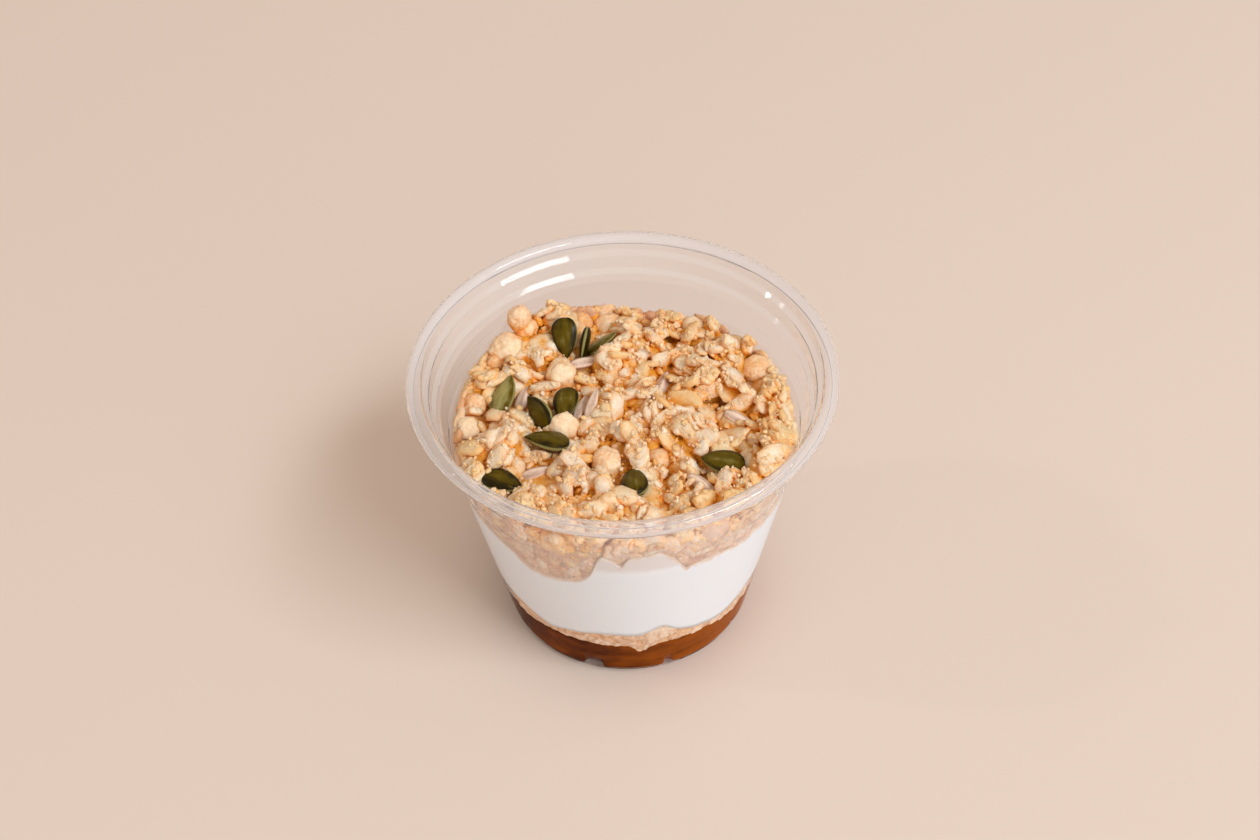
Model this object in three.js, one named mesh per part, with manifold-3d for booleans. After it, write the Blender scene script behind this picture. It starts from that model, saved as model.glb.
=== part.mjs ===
// Granola pot: a clear tapered cup that holds caramel, a layer of crumbs, yoghurt and a heap of granola
// with pumpkin seeds on top. Millimetres, +Z up, origin at the middle of the base, front towards -Y.
// Azimuths are measured round the cup from its front, positive towards +X.

import * as THREE from 'three';
import { mergeVertices } from 'three/addons/utils/BufferGeometryUtils.js';
import Module from 'manifold-3d';

const wasm = await Module();
wasm.setup();

// Cup
const CUP_HEIGHT = 72.5;
const RIM_RADIUS = 47.5;
const BEAD_RADIUS = 1.75;
const WALL = 0.6;
const BASE_RADIUS = 29.6;
const FOOT_ROUNDING = 2;
const FOOT_CHAMFER = 0.6;
const FOOT_FLAT = [24, 27.6];
const BASE_RECESS = 1.4;
const BASE_CORNERS = 3;
const SHOULDER_RADIUS = 41.55;
const SHOULDER_HEIGHT = 63.5;
const LEDGE_HEIGHTS = [64.2, 68.4];
const LEDGE_RADII = [42.6, 44.1];
const LEDGE_RISE = 0.8;
const BAND_TAPER = 0.4;
const NOTCHES = 10;
const NOTCH_AZIMUTH = 18;
const NOTCH_DEPTH = 0.9;
const NOTCH_HEIGHT = 2;
const ROUND_STEPS = 50;
const BEAD_STEPS = 8;
const BEAD_TURN = [-145, 170];

// Layers, as heights at the wall
const GAP = 0.3;
const CARAMEL_TOP = 12.7;
const CRUMB_TOP = 17.2;
const YOGHURT_TOP = 47;
const HEAP_TOP = 56.6;
const HEAP_CROWN = 1.2;
const CORE_DEPTH = 2.6;
const CORE_LEAST = 1.4;
const FINEST = 0.06;
const SIDE_RELIEF = [0.2, 1.1];
const LAYER_RINGS = [0, 0.5, 0.82, 1];

// Granola pieces, as whole sizes
const PUFF_SIZE = 6.4;
const CHUNK_SIZE = 8.6;
const LUMP_SIZE = 9;
const FLAKE_SIZE = [6.6, 4.8, 1.5];
const SUNFLOWER_SIZE = [8.2, 3.7, 2.4];

// Forms of the granola pieces, as shares of their sizes
const PUFF_SKIN = [0.93, 1.07];
const LUMP_CRAGS = [0.74, 1.16];
const LUMP_FORM = [1.1, 0.95, 0.8];
const FLAKE_RADII = [0.42, 0.5];
const FLAKE_SIDES = 6;
const SUNFLOWER_TAPER = 0.7;

// How the granola pieces lie: height over the core, tilts in degrees and sizes beside the usual one
const PUFF_LIFT = 1.8;
const CHUNK_LIFT = 0.9;
const SUNFLOWER_LIFT = 1.6;
const SCATTER_LIFT = [0.8, 1.7];
const SCATTER_SIZE = [0.8, 1.15];
const SCATTER_ROLL = [-15, 15];
const LUMP_PITCH = [-6, 14];
const FLAKE_PITCH = [-13, 31];
const SUNFLOWER_PITCH = [-8, 8];
const SCATTERED_PIECES = 86;
const FLAKE_EVERY = 3;
const GOLDEN_ANGLE = 137.508;
const SEED_CLEARANCE = 4.6;
const TAKEN_SHARE = 0.62;

// Pumpkin seeds
const SEED_SIZE = [10.6, 6.6, 2.6];
const SEED_POINT = 0.36;
const SEED_STEPS = [10, 6];

// Bumps of the layers at the wall: azimuth and half width in degrees, height in millimetres
const CARAMEL_BUMPS = [[4, 4, -2.6], [-56, 12, -1.4], [52, 14, -2.4], [150, 40, -0.7]];
const CRUMB_BUMPS = [
  [-8, 12, 1], [12.5, 6, 3.6], [-36, 9, -2.2], [41, 14, -3.2], [170, 35, 0.8], [-110, 25, -0.6],
];
const YOGHURT_BUMPS = [
  [-2, 7, 6.5], [10, 7, 7.5], [-29, 17, -6.6], [21, 8, -1], [52, 16, -2], [128, 26, -3.2], [-118, 30, 2.4],
];

// Raised and sunken places of the heap: x, y, half width, height
const HEAP_BUMPS = [
  [-21, 27, 11, 3.2], [6, 35, 12, -1.8], [-36, -4, 8, -1.4], [31, -14, 8, 1], [-8, -24, 12, 0.6],
];

// Large pieces that stand out: x, y and size beside the usual one
const PUFFS = [
  [-3, 34, 1], [-9.6, 33.6, 1], [18.5, 32.5, 1], [-4.2, -14, 1.2], [-13.8, 15, 1.2], [-13, -2, 1.1],
  [-34, 7.5, 1], [-29, 19.5, 1.05], [-22.4, 31, 1], [33, 16.5, 1.15], [-35.4, 0.5, 1], [7.5, -12, 0.9],
];
const CHUNKS = [
  [-18.5, 22.5, 1], [-27, 25, 1.05], [5.8, 4.5, 1], [14.2, -6, 1.15], [-19, -24, 1], [0.5, -28, 1.1],
  [14, -26.5, 1], [30.5, -14.5, 1.1], [-25.5, -3, 1.1], [-2, 17, 1.3], [14.5, 7.5, 0.9], [27.5, 25, 1.05],
];

// Sunflower seeds: x, y and heading in degrees
const SUNFLOWER_SEEDS = [
  [-23, 7.6, 80], [-7.1, 3.6, 64], [9.2, 12, 72], [26.2, -2.6, -18], [16.6, -21.6, -40], [-8.4, 17.6, 22],
  [-9.6, 4.4, 70], [-19.4, -14.4, 12],
];

// Pumpkin seeds: place, height of the middle over the heap, then heading, pitch and roll in degrees
// of the pointed end, and size beside the usual one
const PUMPKIN_SEEDS = [
  { at: [-13.1, 22.8], lift: 1.6, turn: [-83, -44, 18], size: 0.9 },
  { at: [-8.6, 21.8], lift: 0.8, turn: [-108, -42, 80], size: 0.82 },
  { at: [-4.4, 23.6], lift: 0.3, turn: [37, 14, -38], size: 0.82 },
  { at: [-27.1, 7.4], lift: 0.4, turn: [68, 24, -26], size: 0.96 },
  { at: [-19.2, 1.6], lift: 0.1, turn: [122, 14, -62], size: 0.89 },
  { at: [-13.1, 3.2], lift: 0.5, turn: [262, -8, 8], size: 0.88 },
  { at: [-17.2, -7.4], lift: 0, turn: [173, 8, 14], size: 0.96 },
  { at: [-26.8, -18.6], lift: -0.2, turn: [-25, -2, 0], size: 0.89 },
  { at: [1.8, -20.6], lift: -0.3, turn: [91, -8, -5], size: 0.89 },
  { at: [21.2, -15.9], lift: 0.2, turn: [167, 6, -5], size: 0.96 },
];

// Rows of the repeatable draws, one for each use
const ROWS = { chunk: 90, sunflower: 91, size: 92, heading: 93, pitch: 94, roll: 95, lift: 96, relief: 97 };
const ANY_HEADING = [0, 360];

const radians = THREE.MathUtils.degToRad;

// Inside radius of the plain wall at a height.
function wallInside(z) {
  const slope = (SHOULDER_RADIUS - BASE_RADIUS) / (SHOULDER_HEIGHT - FOOT_ROUNDING);
  return BASE_RADIUS - WALL + slope * (z - FOOT_ROUNDING);
}

// How far the notches round the foot press the wall in at an azimuth and a height.
function notchDent(azimuth, z) {
  const wave = Math.cos(NOTCHES * (azimuth - radians(NOTCH_AZIMUTH)));
  const low = Math.max(0, 1 - z / NOTCH_HEIGHT);
  return NOTCH_DEPTH * Math.max(0, wave) ** 2 * Math.sqrt(low);
}

// Sum of rounded bumps round the cup, each an azimuth, a half width and a height.
function bumpsRound(bumps, azimuth) {
  const degrees = THREE.MathUtils.radToDeg(azimuth);
  return bumps.reduce((sum, [middle, width, height]) => {
    const away = THREE.MathUtils.euclideanModulo(degrees - middle + 180, 360) - 180;
    return sum + height * Math.exp(-((away / width) ** 2));
  }, 0);
}

const caramelTop = (u, azimuth) => CARAMEL_TOP + u ** 3 * bumpsRound(CARAMEL_BUMPS, azimuth);
const crumbTop = (u, azimuth) => CRUMB_TOP + u ** 3 * bumpsRound(CRUMB_BUMPS, azimuth);
const yoghurtTop = (u, azimuth) => YOGHURT_TOP + u ** 4 * bumpsRound(YOGHURT_BUMPS, azimuth);

// Height of the heap's outline at a place: a low crown with raised and sunken stretches.
function heapTop(x, y) {
  const crown = HEAP_CROWN * (1 - (x * x + y * y) / wallInside(HEAP_TOP) ** 2);
  return HEAP_BUMPS.reduce((sum, [bx, by, width, height]) => {
    const away = ((x - bx) ** 2 + (y - by) ** 2) / width ** 2;
    return sum + height * Math.exp(-away);
  }, HEAP_TOP + crown);
}

// Top of the bare core under the pieces, kept clear of the yoghurt below it.
function coreTop(u, azimuth) {
  const r = u * wallInside(HEAP_TOP);
  const under = yoghurtTop(u, azimuth) + GAP + CORE_LEAST;
  return Math.max(under, heapTop(r * Math.sin(azimuth), -r * Math.cos(azimuth)) - CORE_DEPTH);
}

// A repeatable number within a range for piece k, with its own row for each use.
function draw([least, most], k, row) {
  const share = THREE.MathUtils.euclideanModulo(Math.sin(k * 12.9898 + row * 78.233) * 43758.5453, 1);
  return THREE.MathUtils.lerp(least, most, share);
}

// Keeps only positions, joined where they meet.
function joined(geometry) {
  const plain = geometry.clone();
  plain.deleteAttribute('normal');
  plain.deleteAttribute('uv');
  return mergeVertices(plain, 1e-4);
}

function solidOf(geometry) {
  const plain = joined(geometry);
  const vertProperties = new Float32Array(plain.attributes.position.array);
  const triVerts = new Uint32Array(plain.index.array);
  return new wasm.Manifold(new wasm.Mesh({ numProp: 3, vertProperties, triVerts }));
}

function geometryOf(solid) {
  const mesh = solid.getMesh();
  const geometry = new THREE.BufferGeometry();
  geometry.setAttribute('position', new THREE.BufferAttribute(new Float32Array(mesh.vertProperties), 3));
  geometry.setIndex(new THREE.BufferAttribute(new Uint32Array(mesh.triVerts), 1));
  return geometry;
}

// Moves every point of a geometry by a rule.
function reshape(geometry, rule) {
  const at = geometry.attributes.position;
  const point = new THREE.Vector3();
  for (let i = 0; i < at.count; i += 1) {
    point.fromBufferAttribute(at, i);
    rule(point, i);
    at.setXYZ(i, point.x, point.y, point.z);
  }
  return geometry;
}

// Turns a profile of radius and height round the upright axis, with a step in the middle of each notch.
function turned(profile) {
  const points = profile.map(([r, z]) => new THREE.Vector2(r, z));
  return new THREE.LatheGeometry(points, ROUND_STEPS, radians(NOTCH_AZIMUTH)).rotateX(Math.PI / 2);
}

// Presses the foot notches into a turned geometry.
function withNotches(geometry) {
  return reshape(geometry, (point) => {
    const r = Math.hypot(point.x, point.y);
    if (r < FOOT_FLAT[1] - NOTCH_DEPTH) return;
    const scale = 1 - notchDent(Math.atan2(point.x, -point.y), point.z) / r;
    point.x *= scale;
    point.y *= scale;
  });
}

// Cup: recessed base, rounded foot, tapered wall, two stacking ledges and a rolled rim.
function cupGeometry() {
  const [flatIn, flatOut] = FOOT_FLAT;
  const [lowLedge, highLedge] = LEDGE_HEIGHTS;
  const [lowRadius, highRadius] = LEDGE_RADII;
  const beadMiddle = [RIM_RADIUS - BEAD_RADIUS, CUP_HEIGHT - BEAD_RADIUS];
  const skin = [
    [flatIn - BASE_RECESS, BASE_RECESS],
    [flatIn, 0],
    [flatOut, 0],
    [BASE_RADIUS - FOOT_CHAMFER, FOOT_CHAMFER],
    [BASE_RADIUS, FOOT_ROUNDING],
    [SHOULDER_RADIUS, SHOULDER_HEIGHT],
    [lowRadius, lowLedge + LEDGE_RISE / 2],
    [lowRadius + BAND_TAPER, highLedge - LEDGE_RISE / 2],
    [highRadius, highLedge + LEDGE_RISE / 2],
  ];
  const bead = [];
  for (let i = 0; i <= BEAD_STEPS; i += 1) {
    const angle = radians(THREE.MathUtils.lerp(...BEAD_TURN, i / BEAD_STEPS));
    bead.push([beadMiddle[0] + BEAD_RADIUS * Math.cos(angle), beadMiddle[1] + BEAD_RADIUS * Math.sin(angle)]);
  }
  const lining = skin.map(([r, z], i) => (i < BASE_CORNERS ? [r, z + WALL] : [r - WALL, z + WALL / 3]));
  const profile = [[0, BASE_RECESS], ...skin, ...bead, ...lining.reverse(), [0, BASE_RECESS + WALL]];
  return withNotches(turned(profile));
}

// Splits the quads of an underside along their other diagonal, as those of a top surface lie,
// so that the underside of a layer follows the one below it.
function swapDiagonals(geometry) {
  const across = 2 * LAYER_RINGS.length;
  const corners = geometry.index.array;
  for (let step = 0; step < ROUND_STEPS; step += 1) {
    for (let ring = 0; ring < LAYER_RINGS.length - 1; ring += 1) {
      const a = ring + step * across;
      const b = a + across;
      corners.set([a, b, b + 1, a, b + 1, a + 1], (step * (across - 1) + ring) * 6);
    }
  }
  return geometry;
}

const noInset = () => 0;

// A layer that fills the cup between two uneven surfaces, with its side drawn in from the wall.
function layerGeometry(lower, upper, inset) {
  const below = LAYER_RINGS.map((u) => [u, 0]);
  const above = LAYER_RINGS.map((u) => [u, 1]).reverse();
  return reshape(swapDiagonals(turned([...below, ...above])), (point) => {
    const u = Math.hypot(point.x, point.y);
    const azimuth = u < 1e-6 ? 0 : Math.atan2(point.x, -point.y);
    const z = point.z < 0.5 ? lower(u, azimuth) : upper(u, azimuth);
    const r = u * (wallInside(z) - GAP) - (u > 0.99 ? inset(azimuth) : 0);
    point.set(r * Math.sin(azimuth), -r * Math.cos(azimuth), z);
  });
}

// Caramel: lies on the base, goes down into the foot and ends in an uneven top.
function caramelGeometry() {
  const [flatIn, flatOut] = FOOT_FLAT;
  const floor = [
    [0, BASE_RECESS + WALL + GAP],
    [flatIn - BASE_RECESS, BASE_RECESS + WALL + GAP],
    [flatIn + GAP, WALL + GAP],
    [flatOut - GAP, WALL + GAP],
    [BASE_RADIUS - FOOT_CHAMFER - WALL - GAP, FOOT_CHAMFER + WALL + GAP],
    [wallInside(FOOT_ROUNDING * 2) - GAP, FOOT_ROUNDING * 2],
  ];
  const top = LAYER_RINGS.map((u) => [u * wallInside(CARAMEL_TOP), CARAMEL_TOP]).reverse();
  return reshape(withNotches(turned([...floor, ...top])), (point) => {
    if (point.z < CARAMEL_TOP - 0.01) return;
    const u = Math.hypot(point.x, point.y) / wallInside(CARAMEL_TOP);
    const azimuth = u < 1e-6 ? 0 : Math.atan2(point.x, -point.y);
    const z = caramelTop(u, azimuth);
    const r = u * (wallInside(z) - GAP);
    point.set(r * Math.sin(azimuth), -r * Math.cos(azimuth), z);
  });
}

// A rounded puff with a slightly uneven skin.
function puffGeometry(size, k) {
  const ball = joined(new THREE.IcosahedronGeometry(size / 2, 1));
  return reshape(ball, (point, i) => point.multiplyScalar(draw(PUFF_SKIN, k, i)));
}

// A craggy lump of flakes stuck together, a little flatter than it is wide.
function lumpGeometry(size, k, detail) {
  const ball = joined(new THREE.IcosahedronGeometry(size / 2, detail));
  reshape(ball, (point, i) => point.multiplyScalar(draw(LUMP_CRAGS, k + PUFFS.length, i)));
  return ball.scale(...LUMP_FORM);
}

// A rolled oat flake: a thin oval disc.
function flakeGeometry([length, width, thickness]) {
  const disc = new THREE.CylinderGeometry(...FLAKE_RADII, 1, FLAKE_SIDES).rotateX(Math.PI / 2);
  return disc.scale(length, width, thickness);
}

// A sunflower seed: a slim pointed drop.
function sunflowerGeometry([length, width, thickness]) {
  const ball = joined(new THREE.OctahedronGeometry(0.5, 1)).scale(length, width, thickness);
  return reshape(ball, (point) => {
    point.y *= 1 - (SUNFLOWER_TAPER * point.x) / length;
  });
}

// A pumpkin seed: a flat oval that narrows to a point at +X, with a flattened rim.
function pumpkinGeometry([length, width, thickness], grow) {
  const ball = joined(new THREE.SphereGeometry(0.5, ...SEED_STEPS).rotateZ(-Math.PI / 2));
  return reshape(ball, (point) => {
    const along = point.x * 2;
    const narrow = 1 - SEED_POINT * along;
    point.x = along * (length / 2 + grow);
    point.y *= narrow * (width + 2 * grow);
    point.z *= narrow * (thickness + 2 * grow);
  });
}

// Sets a geometry in place: roll about its length, pitch of its +X end, heading, then position.
function placed(geometry, [heading, pitch, roll], position) {
  const turn = new THREE.Euler(radians(roll), radians(-pitch), radians(heading), 'ZYX');
  const matrix = new THREE.Matrix4().makeRotationFromEuler(turn).setPosition(...position);
  return geometry.applyMatrix4(matrix);
}

const seedPosition = ({ at: [x, y], lift }) => [x, y, heapTop(x, y) + lift];

const coreAt = (x, y) => coreTop(Math.hypot(x, y) / wallInside(HEAP_TOP), Math.atan2(x, -y));

// Draws a piece in from the wall where its reach would cross it.
function clearOfWall(x, y, reach) {
  const far = Math.hypot(x, y);
  const room = wallInside(HEAP_TOP - CORE_DEPTH) - GAP - reach;
  const scale = far > room ? room / far : 1;
  return [x * scale, y * scale];
}

// Whether a place lies under a pumpkin seed or inside one of the large pieces.
function isTaken(x, y) {
  const within = (px, py, reach) => Math.hypot(x - px, y - py) < reach;
  return PUMPKIN_SEEDS.some(({ at }) => within(...at, SEED_CLEARANCE))
    || PUFFS.some(([px, py, size]) => within(px, py, PUFF_SIZE * size * TAKEN_SHARE))
    || CHUNKS.some(([px, py, size]) => within(px, py, CHUNK_SIZE * size * TAKEN_SHARE));
}

// The pieces that show on the heap: puffs and chunks where they stand out, sunflower seeds,
// then lumps and oat flakes spread evenly by the golden angle.
function heapPieces() {
  const pieces = [];
  const lay = (piece, turn, x, y, lift) => pieces.push(placed(piece, turn, [x, y, coreAt(x, y) + lift]));
  PUFFS.forEach(([px, py, size], k) => {
    const [x, y] = clearOfWall(px, py, (PUFF_SIZE * size) / 2);
    lay(puffGeometry(PUFF_SIZE * size, k), [0, 0, 0], x, y, PUFF_LIFT * size);
  });
  CHUNKS.forEach(([px, py, size], k) => {
    const [x, y] = clearOfWall(px, py, (CHUNK_SIZE * size * LUMP_FORM[0]) / 2);
    lay(lumpGeometry(CHUNK_SIZE * size, k, 1), [draw(ANY_HEADING, k, ROWS.chunk), 0, 0], x, y, CHUNK_LIFT);
  });
  SUNFLOWER_SEEDS.forEach(([x, y, heading], k) => {
    const pitch = draw(SUNFLOWER_PITCH, k, ROWS.sunflower);
    lay(sunflowerGeometry(SUNFLOWER_SIZE), [heading, pitch, 0], x, y, SUNFLOWER_LIFT);
  });
  for (let k = 0; k < SCATTERED_PIECES; k += 1) {
    const isFlake = k % FLAKE_EVERY === 0;
    const reach = isFlake ? FLAKE_SIZE[0] / 2 : LUMP_SIZE / 2;
    const far = wallInside(HEAP_TOP) * Math.sqrt((k + 0.5) / SCATTERED_PIECES);
    const angle = radians(GOLDEN_ANGLE * k);
    const [x, y] = clearOfWall(far * Math.cos(angle), far * Math.sin(angle), reach);
    if (isTaken(x, y)) continue;
    const size = draw(SCATTER_SIZE, k, ROWS.size);
    const piece = isFlake
      ? flakeGeometry(FLAKE_SIZE.map((side) => side * size))
      : lumpGeometry(LUMP_SIZE * size, k, 0);
    const heading = draw(ANY_HEADING, k, ROWS.heading);
    const pitch = draw(isFlake ? FLAKE_PITCH : LUMP_PITCH, k, ROWS.pitch);
    const roll = draw(SCATTER_ROLL, k, ROWS.roll);
    lay(piece, [heading, pitch, roll], x, y, draw(SCATTER_LIFT, k, ROWS.lift));
  }
  return pieces;
}

// Granola heap: one core with the pieces fused on, cut off where they would reach the yoghurt or the cup,
// and with a pocket under each pumpkin seed. Only the heap's own outer skin is kept, so sealed hollows
// are filled and loose scraps dropped.
function granolaGeometry() {
  const relief = (azimuth) => draw(SIDE_RELIEF, Math.round(azimuth * ROUND_STEPS), ROWS.relief);
  const bed = (u, azimuth) => yoghurtTop(u, azimuth) + GAP;
  const room = layerGeometry(bed, () => SHOULDER_HEIGHT, noInset);
  let heap = solidOf(layerGeometry((u, azimuth) => bed(u, azimuth) - GAP / 2, coreTop, relief));
  heapPieces().forEach((piece) => {
    heap = heap.add(solidOf(piece));
  });
  heap = heap.intersect(solidOf(room));
  PUMPKIN_SEEDS.forEach((seed) => {
    const size = SEED_SIZE.map((side) => side * seed.size);
    heap = heap.subtract(solidOf(placed(pumpkinGeometry(size, GAP), seed.turn, seedPosition(seed))));
  });
  const bodies = heap.simplify(FINEST).decompose().sort((a, b) => b.volume() - a.volume());
  return geometryOf(bodies[0]);
}

const pot = new THREE.Group();
pot.name = 'granola_pot';

// Adds a named piece with its own colour and finish.
function addPiece(name, geometry, color, roughness) {
  const finished = joined(geometry);
  finished.computeVertexNormals();
  const material = new THREE.MeshStandardMaterial({ color, roughness, metalness: 0 });
  const mesh = new THREE.Mesh(finished, material);
  mesh.name = name;
  pot.add(mesh);
  return mesh;
}

const cup = addPiece('cup', cupGeometry(), 0xf2f1ee, 0.06);
cup.material.transparent = true;
cup.material.opacity = 0.3;
addPiece('caramel', caramelGeometry(), 0x6f3612, 0.25);
addPiece('crumb_layer', layerGeometry((u, a) => caramelTop(u, a) + GAP, crumbTop, noInset), 0xd7a878, 0.85);
addPiece('yoghurt', layerGeometry((u, a) => crumbTop(u, a) + GAP, yoghurtTop, noInset), 0xf3efec, 0.45);
addPiece('granola', granolaGeometry(), 0xe3b173, 0.8);
PUMPKIN_SEEDS.forEach((seed, i) => {
  const shape = pumpkinGeometry(SEED_SIZE.map((side) => side * seed.size), 0);
  addPiece(`pumpkin_seed_${i + 1}`, placed(shape, seed.turn, seedPosition(seed)), 0x4b5527, 0.45);
});

export default pot;
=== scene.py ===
"""Granola pot: a clear cup that holds caramel, crumbs, yoghurt and a heap of granola with pumpkin seeds.

Lengths are in metres, +Z is up and the origin is the middle of the cup's base. Azimuths go round the cup
from its front, which faces -Y, and are positive towards +X.
"""
import functools
import math

import bpy
import numpy as np
from bpy.props import FloatProperty, FloatVectorProperty, IntProperty, PointerProperty
from mathutils import Matrix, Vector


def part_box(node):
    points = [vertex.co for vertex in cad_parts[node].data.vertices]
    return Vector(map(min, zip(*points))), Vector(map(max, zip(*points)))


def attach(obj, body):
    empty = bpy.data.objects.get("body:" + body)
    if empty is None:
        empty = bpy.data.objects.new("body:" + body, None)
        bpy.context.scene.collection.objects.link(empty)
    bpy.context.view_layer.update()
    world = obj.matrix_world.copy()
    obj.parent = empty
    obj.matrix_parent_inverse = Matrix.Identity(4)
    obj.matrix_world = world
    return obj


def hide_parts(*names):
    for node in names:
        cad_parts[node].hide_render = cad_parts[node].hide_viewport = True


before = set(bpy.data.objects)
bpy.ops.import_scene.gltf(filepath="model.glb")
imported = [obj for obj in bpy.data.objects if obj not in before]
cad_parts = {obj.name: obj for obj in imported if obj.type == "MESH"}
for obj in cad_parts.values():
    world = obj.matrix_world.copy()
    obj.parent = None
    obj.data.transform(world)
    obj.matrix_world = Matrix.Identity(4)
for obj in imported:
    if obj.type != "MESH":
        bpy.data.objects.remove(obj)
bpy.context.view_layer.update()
CUP_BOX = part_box("cup")

bl_info = {
    "name": "Granola pot",
    "version": (1, 0, 0),
    "blender": (4, 5, 0),
    "location": "3D View > Sidebar > Granola pot",
    "description": "Makes a clear cup of caramel, crumbs, yoghurt and granola with pumpkin seeds",
    "category": "Object",
}

MM = 0.001

# Steps round the cup, for the cup itself and for what fills it
ROUND_STEPS = 240
FINE_STEPS = 720

# Foot notches round the cup: how many, azimuth of one in degrees, depth and height
NOTCHES = 10
NOTCH_AZIMUTH = 18
NOTCH_DEPTH = 0.9 * MM
NOTCH_HEIGHT = 2 * MM

# How high each notch shows in the caramel, beside the usual height, from that azimuth on
NOTCH_SIZES = np.array([1.1, 0.9, 1.1, 0.7, 1.3, 0.9, 1.2, 0.8, 1.0, 1.7])

# Fine ribs round the wall: heights, half width and depth
RIB_HEIGHTS = (51.6 * MM, 58.9 * MM)
RIB_HALF = 0.25 * MM
RIB_DEPTH = 0.16 * MM

# How far below the shoulder the lining leaves the plain wall
LEVEL_BELOW = 1.5 * MM

# Smeared stretch of the wall: rows of the cup that follow its lower and upper edge, rows over them that part
# the zones, and how far its edges are tucked behind what is smeared
SMEAR_LOW = 46.5 * MM
SMEAR_HIGH = 56 * MM
SMEAR_STEPS = (60 * MM, 60.6 * MM, 61.2 * MM)
SMEAR_TUCK = 0.5 * MM

# Plastic of the wall from the foot up: name, index of refraction, clearness and roughness
WALL_ZONES = (
    ("filled_wall", 1.02, 1.0, 0.015), ("smeared_wall", 1.07, 0.9, 0.08), ("clear_wall", 1.04, 1.0, 0.015),
    ("clear_rim", 1.26, 0.9, 0.015),
)

# Rounding of the lining's corners over the base and foot
LINING_ROUNDING = np.array([0.5, 0.5, 0.9, 0.9]) * MM

# How far the layers reach into the wall and the foot, and how far single pieces keep from the wall
INTO_WALL = 0.06 * MM
INTO_FOOT = 0.36 * MM
FROM_WALL = 0.05 * MM
PIECE_GAP = 0.3 * MM

# Share of painted shade and haze on the granola at the wall: a darker tan drawn over the pieces seen through
# the wall
WALL_SHADE = 0.5

# Size of the raggedness of the layers' edges at the wall
RAGGED_SIZE = 3.4 * MM

# Bumps of the layers at the wall: azimuth and half width in degrees, height
BUMP_UNITS = (1, 1, MM)
CARAMEL_BUMPS = np.array([[4, 4, -2.6], [-56, 12, -1.4], [52, 14, -2.4], [150, 40, -0.7]]) * BUMP_UNITS
CRUMB_BUMPS = np.array([
    [-8, 12, 1], [12.5, 6, 3.6], [-36, 9, -2.2], [41, 14, -3.2], [170, 35, 0.8], [-110, 25, -0.6],
]) * BUMP_UNITS
YOGHURT_BUMPS = np.array([
    [-2, 7, 6.5], [10, 7, 7.5], [-29, 17, -6.6], [21, 8, -1], [52, 16, -2], [128, 26, -3.2], [-118, 30, 2.4],
]) * BUMP_UNITS

# Tongue and nicks of the yoghurt's smeared edge, given in the same way, and the cream flake in the crumb
# layer, with a share in place of the height
YOGHURT_NICKS = np.array([
    [-9, 3.2, 5.5], [-2.5, 1.7, -3.6], [19, 1.5, -1.6], [-38, 3, -1], [44, 2, -1.2],
]) * BUMP_UNITS
CREAM_FLAKE = np.array([[12.5, 6, 1]])

# Raised and sunken places of the heap: x, y, half width, height
HEAP_BUMPS = np.array([
    [-21, 27, 11, 3.2], [6, 35, 12, -1.8], [-36, -4, 8, -1.4], [31, -14, 8, 1], [-8, -24, 12, 0.6],
]) * MM

# Least height of the heap's core over the yoghurt
CORE_LEAST = 1.7 * MM

# Puffs that stand out: x and y in millimetres, size beside the usual one, tone from pale to amber, and height
# over the heap's core in millimetres
PUFFS = np.array([
    [-3, 34, 1, 0.3, 1.8], [-9.6, 33.6, 1, 0.55, 1.8], [18.5, 32.5, 1, 0.1, 1.8],
    [-4.2, -14, 1.2, 0.35, 2.2], [-13.8, 15, 1.2, 0.15, 2.2], [-13, -2, 1.1, 0.2, 2],
    [-34, 7.5, 1, 0.6, 1.8], [-29, 19.5, 1.05, 0.45, 1.9], [-24.4, 28.8, 0.95, 0.5, 6.6],
    [33, 16.5, 1.15, 0.4, 2], [-35.4, 0.5, 1, 0.1, 1.8], [7.5, -12, 0.9, 0.3, 1.6],
    [-23, 29, 1, 0.2, 2.6], [-28, 23.6, 1.2, 0.15, 3],
])

# Large clusters that stand out: x and y in millimetres and size beside the usual one, the first ones bare
CHUNKS = np.array([
    [-18.5, 22.5, 1], [-27, 25, 1.05], [5.8, 4.5, 1], [14.2, -6, 1.15], [-19, -24, 1], [0.5, -28, 1.1],
    [14, -26.5, 1], [30.5, -14.5, 1.1], [-25.5, -3, 1.1], [-2, 17, 1.3], [14.5, 7.5, 0.9], [27.5, 25, 1.05],
])
BARE_CHUNKS = 2

# Sunflower seeds: x and y in millimetres, heading in degrees
SUNFLOWER_SEEDS = np.array([
    [-23, 7.6, 80], [-7.1, 3.6, 64], [9.2, 12, 72], [26.2, -2.6, -18], [16.6, -21.6, -40], [-8.4, 17.6, 22],
    [-9.6, 4.4, 70], [-19.4, -14.4, 12],
])

# Large flakes that stand out: x and y in millimetres, heading in degrees, length, width and thickness
LARGE_FLAKES = np.array([
    [-18.6, -18.4, -6, 9.6, 4.8, 1.8], [14, 4.4, -20, 8.6, 5.4, 2.4], [24.2, -7.6, -28, 8.4, 4.8, 1.8],
    [27, 24.4, 20, 9, 5, 1.6], [-1.6, 2, 100, 7.4, 4, 2], [31, 9, 66, 8, 4.2, 1.6], [5, -24, 74, 8, 4.4, 1.7],
])
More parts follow.
